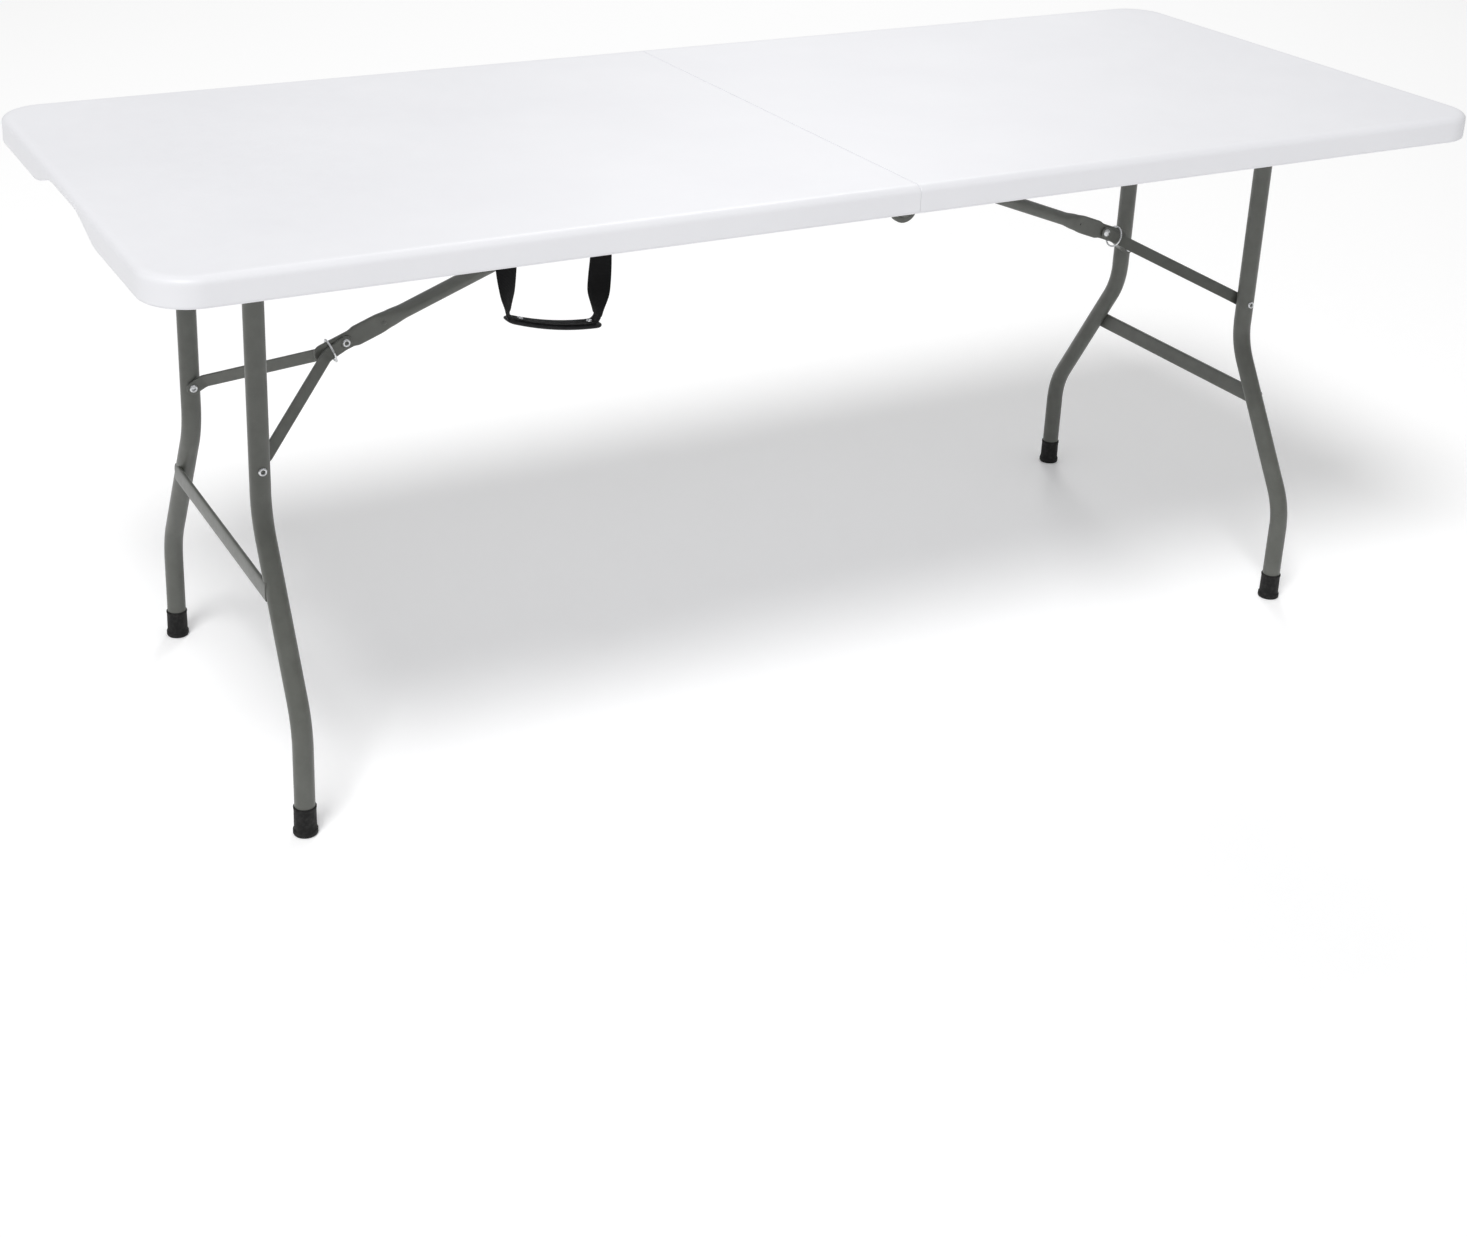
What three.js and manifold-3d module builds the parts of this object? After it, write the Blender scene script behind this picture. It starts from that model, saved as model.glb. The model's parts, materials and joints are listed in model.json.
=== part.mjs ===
// Fold-in-half table: two blow-moulded top halves on a powder-coated steel frame.
// Millimetres, +Z up, +X along the length, origin on the floor under the middle.
// The table has half-turn symmetry about Z, so each side is built once for the
// -X half and repeated in a group turned by 180 degrees.
import * as THREE from 'three';
import { mergeVertices } from 'three/addons/utils/BufferGeometryUtils.js';
import Module from 'manifold-3d';

const wasm = await Module();
wasm.setup();

// ---------------------------------------------------------------- driving dimensions
const tableLength = 1830;
const tableWidth = 735;
const tableHeight = 740;
const rimDepth = 34;          // top surface down to the lip of the rim
const plateThickness = 11;    // double-wall plate inside the rim
const cornerRadius = 58;      // plan radius of the four outer corners
const edgeRadius = 8;         // rounding of the upper edge
const endRimWidth = 20;
const sideRimWidth = 25.5;
const seamGap = 0.4;          // between the two halves, which butt under load
const handHoldDepth = 20;     // scallop under each end
const handHoldHalfWidth = 145;

const foldDrop = 2.5;         // fold axis below the lip
const pivotReach = 742;       // fold axis to leg pivot, along X
const pivotRise = 17;         // leg pivot above the fold axis
const braceRise = 20;         // folded brace above the fold axis

const legRadius = 12.5;
const legWall = 1.2;
const legSpreadTop = 142;     // leg centre from the middle, upper straight
const legSpreadFoot = 270;    // the same at the foot
const legUpperBend = 362;     // pivot to upper bend, down the leg
const legLowerBend = 577;
const legBendRadius = 110;
const crossTubeRadius = 9.5;
const crossTubeHalf = 338;
const centreTubeRadius = 10;
const centreTubeHalf = 339.5;
const stretcherDrop = 440;    // pivot to stretcher
const stretcherTall = 25;
const stretcherThick = 8.6;
const stretcherOffset = 12;   // outwards from the leg plane, so that the brace passes behind
const tubeWall = 1.2;

const braceRadius = 10.5;
const braceRoundFrom = 54;    // start of the round tube, from the knee rivet
const eyeRadius = 13.4;       // collar on the centre tube
const eyeHalf = 6.1;
const eyeOffset = -6.5;       // collars of the two braces lie side by side
const tongueTall = 22;
const tongueThick = 5;
const tongueReach = 42;       // tongue tip beyond the knee rivet
const barLength = 178.2;      // knee rivet to leg rivet
const barTall = 17;
const barThick = 3;
const barParallel = 28;       // stretch of bar that runs beside the tongue
const barEndStraight = 24;    // stretch of bar that lies flat on the leg
const legRivetDrop = 302;     // pivot to leg rivet
const rivetRadius = 4;
const rivetHeadRadius = 7;
const rivetHeadHeight = 2.6;
const ringWire = 1.2;
const ringRadius = 15;
const ringRest = 20.5;        // lock ring beyond the knee rivet at rest
const ringTravel = 162;       // along the brace as the legs fold
const ringDrop = 2.2;         // ring centre below the brace axis

const railWidth = 18;
const railTall = 25;
const railWall = 1.5;
const railCentre = 332;       // rail centre from the middle, along Y
const railOuterEnd = 763;
const railInnerEnd = 22;
const railLift = 0.5;         // rail underside above the lip

const hingeEarRadius = 18;
const hingePlateThick = 3;
const hingePlateReach = 84;

const pivotClipPlace = 262;   // clip centre from the middle, along Y
const pivotClipHalf = 29;
const pivotClipWall = 3.6;
const pivotClipWing = 27;     // screw wing, from the pivot along X
const pivotClipScrew = 20;

const storageClipReach = 73;  // fold axis to the clip that stores one leg
const storageClipHalf = 10;
const storageClipWall = 3.2;
const storageClipWing = 11;

const footRadius = 15.2;
const footHeight = 38;
const footFloor = 6.3;        // rubber under the end of the leg

const strapPlaces = [-521, -408];
const strapWidth = 30;
const strapNeck = 16;         // width where the strap enters the grip
const strapThick = 2;
const loopThick = 1;          // webbing round the rail
const handleDrops = [67, 88]; // swing axis to the grip at each strap: it hangs askew
const gripTall = 9;
const gripWidth = 22;
const gripSag = 6;
const gripOverhang = 6;       // grip end beyond the strap centre
const gripSlotFloor = 2;

const clearance = 0.3;        // running gap between pieces
const past = 9;               // how far a cutting tool runs beyond what it cuts
const tubeSides = 14;

// ---------------------------------------------------------------- derived places
const lipZ = tableHeight - rimDepth;
const floorZ = tableHeight - plateThickness;
const foldZ = lipZ - foldDrop;
const pivotZ = foldZ + pivotRise;
const storageClipTop = pivotZ + 16;
const braceZ = foldZ + braceRise;
const endX = tableLength / 2;
const sideY = tableWidth / 2;
const legLength = pivotZ;
const legInnerFace = legSpreadTop - legRadius;
const barFar = legInnerFace - clearance - barThick / 2 - 0.4;

// Four-bar linkage in the XZ plane, seen on the -X half with x counted outwards.
const kneeFolded = pivotReach - legRivetDrop
  + Math.sqrt(barLength ** 2 - (braceRise - pivotRise) ** 2);
const braceLength = Math.hypot(kneeFolded, braceRise);
const braceTilt = Math.atan2(braceRise, kneeFolded);
const rivetDrop = legRivetDrop - pivotRise;
const spanRest = Math.hypot(pivotReach, rivetDrop);
const spanAngle = Math.atan2(rivetDrop, pivotReach);
const kneeAngle = Math.acos(
  (braceLength ** 2 + spanRest ** 2 - barLength ** 2) / (2 * braceLength * spanRest));
const braceFall = spanAngle - kneeAngle;
const kneeX = -braceLength * Math.cos(braceFall);
const kneeZ = foldZ - braceLength * Math.sin(braceFall);
const barFall = Math.atan2(kneeZ - (pivotZ - legRivetDrop), pivotReach + kneeX);
const tubeFall = braceFall + braceTilt;

// ---------------------------------------------------------------- materials
const finish = (color, roughness, metalness) =>
  new THREE.MeshStandardMaterial({ color, roughness, metalness });
const makeHdpe = () => finish(0xeeeef1, 0.55, 0);
const makePaint = () => finish(0x575a57, 0.45, 0.3);
const makeBlack = () => finish(0x111112, 0.6, 0);
const makeZinc = () => finish(0xc9cbcc, 0.3, 1);
const makeWebbing = () => finish(0x0b0b0c, 0.85, 0);

// ---------------------------------------------------------------- solids and booleans
function solid(geometry) {
  const bare = geometry.clone();
  for (const name of Object.keys(bare.attributes)) {
    if (name !== 'position') bare.deleteAttribute(name);
  }
  const welded = mergeVertices(bare, 1e-4);
  return new wasm.Manifold(new wasm.Mesh({
    numProp: 3,
    vertProperties: new Float32Array(welded.attributes.position.array),
    triVerts: new Uint32Array(welded.index.array),
  }));
}

function geometryOf(body) {
  const mesh = body.getMesh();
  const geometry = new THREE.BufferGeometry();
  geometry.setAttribute('position', new THREE.BufferAttribute(mesh.vertProperties, 3));
  geometry.setIndex(new THREE.BufferAttribute(mesh.triVerts, 1));
  geometry.computeVertexNormals();
  return geometry;
}

const join = (first, ...others) => others.reduce((a, b) => a.add(b), first);
const cut = (first, ...tools) => tools.reduce((a, b) => a.subtract(b), first);

function piece(name, body, material) {
  const mesh = new THREE.Mesh(geometryOf(body), material);
  mesh.name = name;
  return mesh;
}

function block(x0, x1, y0, y1, z0, z1) {
  const box = new THREE.BoxGeometry(x1 - x0, y1 - y0, z1 - z0);
  return solid(box.translate((x0 + x1) / 2, (y0 + y1) / 2, (z0 + z1) / 2));
}

// Cylinder along Y between y0 and y1, centred on (x, z).
function pinY(radius, y0, y1, x = 0, z = 0, sides = 24) {
  const pin = new THREE.CylinderGeometry(radius, radius, y1 - y0, sides);
  return solid(pin.translate(x, (y0 + y1) / 2, z));
}

function pinZ(radius, z0, z1, x = 0, y = 0, sides = 24) {
  const pin = new THREE.CylinderGeometry(radius, radius, z1 - z0, sides);
  return solid(pin.rotateX(Math.PI / 2).translate(x, y, (z0 + z1) / 2));
}

// Domed rivet head on the plane y, bulging towards the sign of `side`.
function rivetHead(side, x, y, z) {
  const profile = [[0, 0], [rivetHeadRadius, 0], [rivetHeadRadius * 0.95, rivetHeadHeight * 0.45],
    [rivetHeadRadius * 0.6, rivetHeadHeight * 0.9], [0, rivetHeadHeight]];
  const dome = new THREE.LatheGeometry(profile.map(([r, h]) => new THREE.Vector2(r, h)), 12);
  if (side < 0) dome.rotateX(Math.PI);
  return solid(dome.translate(x, y, z));
}

// Round bar along a straight curve.
function tube(curve, radius, sides) {
  const outline = new THREE.Shape().absarc(0, 0, radius, 0, Math.PI * 2);
  return solid(new THREE.ExtrudeGeometry(outline, {
    steps: 1, extrudePath: curve, curveSegments: sides, bevelEnabled: false,
  }));
}

// Closed solid skinned over rings of equally many points.
function loft(rings) {
  const count = rings[0].length;
  const positions = rings.flat().flatMap((p) => [p.x, p.y, p.z]);
  const faces = [];
  for (let r = 0; r + 1 < rings.length; r++) {
    for (let i = 0; i < count; i++) {
      const j = (i + 1) % count;
      const [a, b] = [r * count + i, r * count + j];
      const [c, d] = [a + count, b + count];
      faces.push(a, b, d, a, d, c);
    }
  }
  const last = (rings.length - 1) * count;
  for (let i = 1; i + 1 < count; i++) {
    faces.push(0, i + 1, i, last, last + i, last + i + 1);
  }
  const geometry = new THREE.BufferGeometry();
  geometry.setAttribute('position', new THREE.Float32BufferAttribute(positions, 3));
  geometry.setIndex(faces);
  const body = solid(geometry);
  return body.volume() < 0 ? solid(flipped(geometry)) : body;
}

function flipped(geometry) {
  const turned = geometry.clone();
  const index = Array.from(turned.index.array);
  for (let i = 0; i < index.length; i += 3) [index[i], index[i + 1]] = [index[i + 1], index[i]];
  turned.setIndex(index);
  return turned;
}

// Super-ellipse ring in a plane of constant x.
function ovalRing(x, y, z, halfY, halfZ, power = 2, count = tubeSides) {
  return Array.from({ length: count }, (_, i) => {
    const angle = (i / count) * Math.PI * 2;
    const [c, s] = [Math.cos(angle), Math.sin(angle)];
    const dy = Math.sign(c) * Math.abs(c) ** (2 / power) * halfY;
    const dz = Math.sign(s) * Math.abs(s) ** (2 / power) * halfZ;
    return new THREE.Vector3(x, y + dy, z + dz);
  });
}

// ---------------------------------------------------------------- shared curves
// Leg centre line in the leg frame: pivot at the origin, foot down -Z, spread along Y.
function legCurve(side, start, end) {
  const slope = Math.atan2(legSpreadFoot - legSpreadTop, legLowerBend - legUpperBend);
  const tangent = legBendRadius * Math.tan(slope / 2);
  const upper = new THREE.Vector3(0, side * legSpreadTop, -legUpperBend);
  const lower = new THREE.Vector3(0, side * legSpreadFoot, -legLowerBend);
  const along = lower.clone().sub(upper).normalize();
  const down = new THREE.Vector3(0, 0, -1);
  const at = (base, direction, distance) => base.clone().addScaledVector(direction, distance);
  const path = new THREE.CurvePath();
  const points = [
    at(upper, down, start - legUpperBend),
    at(upper, down, -tangent), at(upper, along, tangent),
    at(lower, along, -tangent), at(lower, down, tangent),
    at(lower, down, end - legLowerBend)];
  path.add(new THREE.LineCurve3(points[0], points[1]));
  path.add(new THREE.QuadraticBezierCurve3(points[1], upper, points[2]));
  path.add(new THREE.LineCurve3(points[2], points[3]));
  path.add(new THREE.QuadraticBezierCurve3(points[3], lower, points[4]));
  path.add(new THREE.LineCurve3(points[4], points[5]));
  return path;
}

// Rings of a tube that stays in a YZ plane, with sections only where it bends.
function planarTube(curve, radius, sides = tubeSides) {
  const stations = [];
  for (const part of curve.curves) {
    const cuts = part.isLineCurve3 ? 1 : 4;
    for (let i = 0; i <= cuts; i++) {
      const point = part.getPoint(i / cuts);
      const previous = stations.at(-1);
      if (previous && previous.point.distanceTo(point) < 1e-6) continue;
      stations.push({ point, tangent: part.getTangent(i / cuts) });
    }
  }
  const acrossX = new THREE.Vector3(1, 0, 0);
  return loft(stations.map(({ point, tangent }) => {
    const normal = new THREE.Vector3().crossVectors(tangent, acrossX).normalize();
    return Array.from({ length: sides }, (_, i) => {
      const angle = (i / sides) * Math.PI * 2;
      return point.clone()
        .addScaledVector(acrossX, radius * Math.cos(angle))
        .addScaledVector(normal, radius * Math.sin(angle));
    });
  }));
}

// ---------------------------------------------------------------- top half
// Plan of the blank inside its rounded edge, drawn past the seam.
const planOverrun = 30;

function topPlan() {
  const shape = new THREE.Shape();
  const inset = edgeRadius;
  shape.moveTo(planOverrun, -sideY + inset);
  shape.lineTo(planOverrun, sideY - inset);
  shape.lineTo(-endX + cornerRadius, sideY - inset);
  shape.absarc(-endX + cornerRadius, sideY - cornerRadius, cornerRadius - inset,
    Math.PI / 2, Math.PI);
  shape.lineTo(-endX + inset, -sideY + cornerRadius);
  shape.absarc(-endX + cornerRadius, -sideY + cornerRadius, cornerRadius - inset,
    Math.PI, Math.PI * 1.5);
  return shape;
}

function topBlank() {
  const beyond = sideY + past;
  const slab = new THREE.ExtrudeGeometry(topPlan(), {
    depth: rimDepth, curveSegments: 8,
    bevelEnabled: true, bevelThickness: edgeRadius, bevelSize: edgeRadius, bevelSegments: 3,
  });
  slab.translate(0, 0, tableHeight - rimDepth - edgeRadius);
  return cut(solid(slab),
    block(-seamGap / 2, planOverrun + past, -beyond, beyond, 0, tableHeight + past),
    block(-endX - past, planOverrun + past, -beyond, beyond, 0, lipZ));
}

function cavityTool() {
  const innerRadius = cornerRadius - endRimWidth;
  const x0 = -endX + endRimWidth;
  const y0 = sideY - sideRimWidth;
  const shape = new THREE.Shape();
  shape.moveTo(past, -y0);
  shape.lineTo(past, y0);
  shape.absarc(x0 + innerRadius, y0 - innerRadius, innerRadius, Math.PI / 2, Math.PI);
  shape.absarc(x0 + innerRadius, -y0 + innerRadius, innerRadius, Math.PI, Math.PI * 1.5);
  const depth = floorZ - lipZ + past;
  const slab = new THREE.ExtrudeGeometry(shape, { depth, curveSegments: 6, bevelEnabled: false });
  return solid(slab.translate(0, 0, lipZ - past));
}

// Smooth scallop that a hand fits under, cut through the end rim.
function handHoldTool() {
  const shape = new THREE.Shape();
  shape.moveTo(-handHoldHalfWidth, -past);
  const steps = 16;
  const steepness = 1.3;
  for (let i = 0; i <= steps; i++) {
    const y = handHoldHalfWidth * (2 * i / steps - 1);
    const swell = Math.cos((Math.PI / 2) * (y / handHoldHalfWidth));
    const lift = handHoldDepth * swell ** steepness;
    shape.lineTo(y, lift);
  }
  shape.lineTo(handHoldHalfWidth, -past);
  const depth = endRimWidth + 2 * past;
  const slab = new THREE.ExtrudeGeometry(shape, { depth, curveSegments: 4, bevelEnabled: false });
  // Extrusion runs along +Z: turn it to +X with the outline in YZ.
  slab.rotateX(Math.PI / 2).rotateZ(Math.PI / 2);
  return solid(slab.translate(-endX - past, 0, lipZ));
}

// Channels in the plate that take the folded frame.
const channelGap = 0.8;
const foldedTop = (half) => braceZ + half + channelGap;

function legChannels(side) {
  const fold = new THREE.Matrix4().makeRotationY(-Math.PI / 2)
    .setPosition(-pivotReach, 0, pivotZ);
  const curve = legCurve(side, -legRadius - 1.5, legLength - 10);
  const route = geometryOf(planarTube(curve, legRadius + channelGap, 12));
  const footEnd = -pivotReach + legLength;
  const [footY, footHalf] = [side * legSpreadFoot, footRadius + 1];
  const footPocket = block(footEnd - footHeight - 3, footEnd + 3, footY - footHalf,
    footY + footHalf, lipZ, pivotZ + footRadius + channelGap);
  return [solid(route.applyMatrix4(fold)), footPocket];
}

// Room for the brace, the lock ring and the knee when the legs are folded.
function braceChannels() {
  const kneeLine = -kneeFolded;
  const ringLine = kneeLine + ringTravel - ringRest;
  const [ringHalf, kneeHalf] = [6, 16];
  return [
    block(kneeLine - tongueReach - 2, -40, -braceRadius - 1, braceRadius + 1,
      lipZ, foldedTop(tongueTall / 2)),
    block(ringLine - ringHalf, ringLine + ringHalf, -ringRadius - 3, ringRadius + 3,
      lipZ, braceZ - ringDrop + ringRadius + ringWire + 0.4),
    block(kneeLine - 12, kneeLine + barParallel + 4, -kneeHalf, kneeHalf,
      lipZ, foldedTop(barTall / 2)),
  ];
}

function barChannel(side) {
  const kneeLine = -kneeFolded;
  const rivetLine = -(pivotReach - legRivetDrop);
  const half = 9;
  const top = foldedTop(barTall / 2);
  return loft([
    [kneeLine + barParallel - 6, side * 2], [rivetLine - barEndStraight, side * barFar],
    [rivetLine + barTall / 2 + 3, side * barFar],
  ].map(([x, y]) => [
    new THREE.Vector3(x, y - half, lipZ), new THREE.Vector3(x, y + half, lipZ),
    new THREE.Vector3(x, y + half, top), new THREE.Vector3(x, y - half, top)]));
}

function railChannel(side) {
  const [y, half] = [side * railCentre, railWidth / 2 + 1];
  return block(-railOuterEnd - 3, past, y - half, y + half,
    lipZ - 1, lipZ + railLift + railTall + 0.4);
}

function storageClipPocket() {
  const reach = storageClipHalf + clearance;
  const wide = legRadius + storageClipWall + clearance;
  return block(-storageClipReach - reach, -storageClipReach + reach,
    legSpreadFoot - wide, legSpreadFoot + wide, lipZ, storageClipTop + clearance);
}

function strapPocket(x) {
  const half = strapWidth / 2 + 1.5;
  const outerY = -railCentre - railWidth / 2 - loopThick - 1.4;
  return block(x - half, x + half, outerY, -railCentre + railWidth / 2 + 4,
    lipZ - 1, lipZ + railLift + railTall + loopThick + 1.1);
}

function nestingTools() {
  const cross = pinY(crossTubeRadius + channelGap, -sideY + sideRimWidth,
    sideY - sideRimWidth, -pivotReach, pivotZ, 16);
  return [cross, ...braceChannels(), ...strapPlaces.map(strapPocket), storageClipPocket(),
    ...[-1, 1].flatMap((side) => [...legChannels(side), barChannel(side), railChannel(side)])];
}

function makeTop(name) {
  const body = cut(topBlank(), cavityTool(), handHoldTool(), ...nestingTools());
  return piece(name, body, makeHdpe());
}

// ---------------------------------------------------------------- rails and hinges
function railSection() {
  const [w, h] = [railWidth / 2, railTall / 2];
  const corner = 2;
  const outline = (shape, hw, hh, r) => {
    shape.moveTo(-hw + r, -hh);
    shape.absarc(hw - r, -hh + r, r, -Math.PI / 2, 0);
    shape.absarc(hw - r, hh - r, r, 0, Math.PI / 2);
    shape.absarc(-hw + r, hh - r, r, Math.PI / 2, Math.PI);
    shape.absarc(-hw + r, -hh + r, r, Math.PI, Math.PI * 1.5);
    return shape;
  };
  const shape = outline(new THREE.Shape(), w, h, corner);
  shape.holes.push(outline(new THREE.Path(), w - railWall, h - railWall, corner - railWall + 0.3));
  return shape;
}

function makeRail(side, name) {
  const depth = railOuterEnd - railInnerEnd;
  const bar = new THREE.ExtrudeGeometry(railSection(), {
    depth, curveSegments: 2, bevelEnabled: false });
  // Section plane XY becomes YZ; the extrusion runs along +X.
  bar.rotateX(Math.PI / 2).rotateZ(Math.PI / 2);
  bar.translate(-railOuterEnd, side * railCentre, lipZ + railLift + railTall / 2);
  const innerWall = side * (railCentre - railWidth / 2 + 1);
  const bore = pinY(crossTubeRadius + clearance, innerWall - 2.5, innerWall + 2.5,
    -pivotReach, pivotZ);
  return piece(name, cut(solid(bar), bore), makePaint());
}

// Flat plate with a round ear on the fold axis and a tail inside the rail.
function makeHingePlate(side, layer, name) {
  const centre = side * railCentre + layer;
  const [y0, y1] = [centre - hingePlateThick / 2, centre + hingePlateThick / 2];
  const railFloor = lipZ + railLift + railWall;
  const ear = pinY(hingeEarRadius, y0, y1, 0, foldZ, 32);
  const tail = block(-hingePlateReach, -railInnerEnd + 6, y0, y1, railFloor + 0.4,
    railFloor + railTall - 2 * railWall - 0.4);
  const web = block(-railInnerEnd, 0, y0, y1, foldZ + 3, foldZ + hingeEarRadius);
  const bore = pinY(centreTubeRadius + clearance, y0 - 1, y1 + 1, 0, foldZ);
  return piece(name, cut(join(ear, tail, web), bore), makePaint());
}

// Plastic insert that closes the outer end of a rail.
function makeRailPlug(side, name) {
  const y = side * railCentre;
  const inner = railWidth / 2 - railWall - clearance;
  const bottom = lipZ + railLift;
  const top = bottom + railTall;
  const slack = railWall + 0.5;
  const stem = block(-railOuterEnd + 0.3, -railOuterEnd + 10, y - inner, y + inner,
    bottom + slack, top - slack);
  const cap = block(-railOuterEnd - 2.2, -railOuterEnd - clearance, y - railWidth / 2 + 0.5,
    y + railWidth / 2 - 0.5, bottom + 0.3, top - 0.3);
  const neck = block(-railOuterEnd - 1, -railOuterEnd + 4, y - inner + 1, y + inner - 1,
    bottom + slack + 1.5, top - slack - 1.5);
  return piece(name, join(stem, cap, neck), makeBlack());
}

// Saddle that holds the cross tube against the plate, with two screw wings.
function makePivotClip(side, name) {
  const [x, y] = [-pivotReach, side * pivotClipPlace];
  const [y0, y1] = [y - pivotClipHalf, y + pivotClipHalf];
  const radius = crossTubeRadius + pivotClipWall;
  const bore = crossTubeRadius + clearance;
  const top = floorZ - clearance;
  const arch = pinY(radius, y0, y1, x, pivotZ);
  const post = block(x - radius, x + radius, y0, y1, pivotZ, top);
  const wings = block(x - pivotClipWing, x + pivotClipWing, y0 + 6, y1 - 6, top - 4.7, top);
  const trim = block(x - 40, x + 40, y0 - past, y1 + past, top, top + 40);
  const slot = block(x - bore, x + bore, y0 - 1, y1 + 1, pivotZ, top + past);
  const holes = [-1, 1].map((s) =>
    pinZ(2.6, floorZ - past, floorZ + past, x + s * pivotClipScrew, y, 12));
  return piece(name, cut(join(arch, post, wings), trim, pinY(bore, y0 - 1, y1 + 1, x, pivotZ),
    slot, ...holes), makeBlack());
}

// U-shaped clip, let into the plate, that keeps one folded leg in place.
function makeStorageClip(name) {
  const [x, y] = [-storageClipReach, legSpreadFoot];
  const [x0, x1] = [x - storageClipHalf, x + storageClipHalf];
  const outer = legRadius + storageClipWall;
  const radius = legRadius + 0.6;
  const body = block(x0, x1, y - outer, y + outer, pivotZ - 8, storageClipTop);
  const wings = block(x0, x1, y - outer - storageClipWing, y + outer + storageClipWing,
    floorZ - 4, floorZ - clearance);
  const bore = new THREE.CylinderGeometry(radius, radius, 2 * storageClipHalf + 4, 24);
  bore.rotateZ(Math.PI / 2).translate(x, y, pivotZ);
  const mouth = block(x0 - 2, x1 + 2, y - radius, y + radius, pivotZ - 40, pivotZ);
  return piece(name, cut(join(body, wings), solid(bore), mouth), makeBlack());
}

// ---------------------------------------------------------------- leg frame
// Built in the leg frame: pivot at the origin, legs down -Z.
function makeCrossTube(name) {
  const outer = pinY(crossTubeRadius, -crossTubeHalf, crossTubeHalf);
  const inner = pinY(crossTubeRadius - tubeWall, -crossTubeHalf - 1, crossTubeHalf + 1);
  return piece(name, cut(outer, inner), makePaint());
}

function makeLeg(side, name) {
  const outer = planarTube(legCurve(side, 0, legLength - footFloor - 0.4), legRadius);
  const inner = planarTube(legCurve(side, -3, legLength), legRadius - legWall, 8);
  const saddle = pinY(crossTubeRadius + clearance, side * legSpreadTop - 30,
    side * legSpreadTop + 30);
  const above = block(-40, 40, side * legSpreadTop - 40, side * legSpreadTop + 40, 0, 40);
  const rivet = pinY(rivetRadius + clearance, side * legSpreadTop - 20,
    side * legSpreadTop + 20, 0, -legRivetDrop, 16);
  return piece(name, cut(outer, inner, saddle, above, rivet), makePaint());
}

function makeLegRivet(side, name) {
  const inner = legInnerFace + 0.4;
  const outer = legSpreadTop + legRadius - 0.1;
  const shank = pinY(rivetRadius, side > 0 ? inner : -outer - 1, side > 0 ? outer + 1 : -inner,
    0, -legRivetDrop, 16);
  return piece(name, join(shank, rivetHead(side, 0, side * (outer + clearance), -legRivetDrop)),
    makeZinc());
}

// Flat-oval stretcher between the splayed stretches of the legs.
function makeStretcher(name) {
  const t = (stretcherDrop - legUpperBend) / (legLowerBend - legUpperBend);
  const reach = legSpreadTop + t * (legSpreadFoot - legSpreadTop);
  const shape = (hx, hz, target) => {
    target.moveTo(-hx, -hz + hx);
    target.absarc(0, -hz + hx, hx, Math.PI, Math.PI * 2);
    target.absarc(0, hz - hx, hx, 0, Math.PI);
    return target;
  };
  const outline = shape(stretcherThick / 2, stretcherTall / 2, new THREE.Shape());
  outline.holes.push(shape(stretcherThick / 2 - tubeWall, stretcherTall / 2 - tubeWall,
    new THREE.Path()));
  const bar = new THREE.ExtrudeGeometry(outline, {
    depth: 2 * reach, curveSegments: 6, bevelEnabled: false });
  bar.rotateX(Math.PI / 2).translate(-stretcherOffset, reach, -stretcherDrop);
  const trims = [-1, 1].map((s) =>
    planarTube(legCurve(s, 0, legLength), legRadius + clearance));
  const pieces = cut(solid(bar), ...trims).decompose();
  const middle = pieces.reduce((a, b) => (a.volume() > b.volume() ? a : b));
  return piece(name, middle, makePaint());
}

function makeFootCap(side, name) {
  const h = footHeight;
  const r = footRadius;
  const wall = legRadius + clearance;
  const profile = [[0, 0], [r - 1, 0], [r, 1.2], [r, 7], [r - 1.1, 9], [r - 1.2, h - 2],
    [r - 2, h], [wall, h], [wall, footFloor], [0, footFloor]];
  const cap = new THREE.LatheGeometry(profile.map(([x, y]) => new THREE.Vector2(x, y)), 18);
  cap.rotateX(Math.PI / 2).translate(0, side * legSpreadFoot, -legLength);
  return piece(name, solid(cap), makeBlack());
}

// ---------------------------------------------------------------- folding brace
// Brace frame: knee rivet at the origin, fold axis at (+kneeFolded, 0, -braceRise).
function makeBrace(name) {
  const end = kneeFolded;
  const [halfThick, halfTall] = [tongueThick / 2, tongueTall / 2];
  const r = braceRadius;
  // Flattened at the knee, round along the tube, flattened again into the eye.
  const body = loft([
    ovalRing(-8, 0, 0, halfThick, halfTall, 5),
    ovalRing(30, 0, 0, halfThick, halfTall, 5),
    ovalRing(43, 0, 0, r * 0.72, halfTall, 2.4),
    ovalRing(braceRoundFrom, 0, 0, r, r),
    ovalRing(end - 96, 0, 0, r, r),
    ovalRing(end - 62, eyeOffset * 0.3, -3, r, r * 0.7, 2.6),
    ovalRing(end - 36, eyeOffset, -10.5, 8, 4, 3.5),
    ovalRing(end - 6, eyeOffset, -braceRise + 11.6, eyeHalf, 1.6, 5),
  ]);
  const tipX = -tongueReach + halfTall;
  const tip = join(block(tipX, 0, -halfThick, halfThick, -halfTall, halfTall),
    pinY(halfTall, -halfThick, halfThick, tipX, 0));
  const eye = pinY(eyeRadius, eyeOffset - eyeHalf, eyeOffset + eyeHalf, end, -braceRise, 28);
  const eyeBore = pinY(centreTubeRadius + clearance, -30, 30, end, -braceRise);
  const rivetBore = pinY(rivetRadius + clearance, -30, 30, 0, 0, 16);
  const bore = tube(new THREE.LineCurve3(new THREE.Vector3(braceRoundFrom, 0, 0),
    new THREE.Vector3(end - 98, 0, 0)), braceRadius - tubeWall, 10);
  const vent = pinZ(3, -30, 0, end - 110, 0, 10);
  return piece(name, cut(join(body, tip, eye), eyeBore, rivetBore, bore, vent), makePaint());
}

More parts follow.
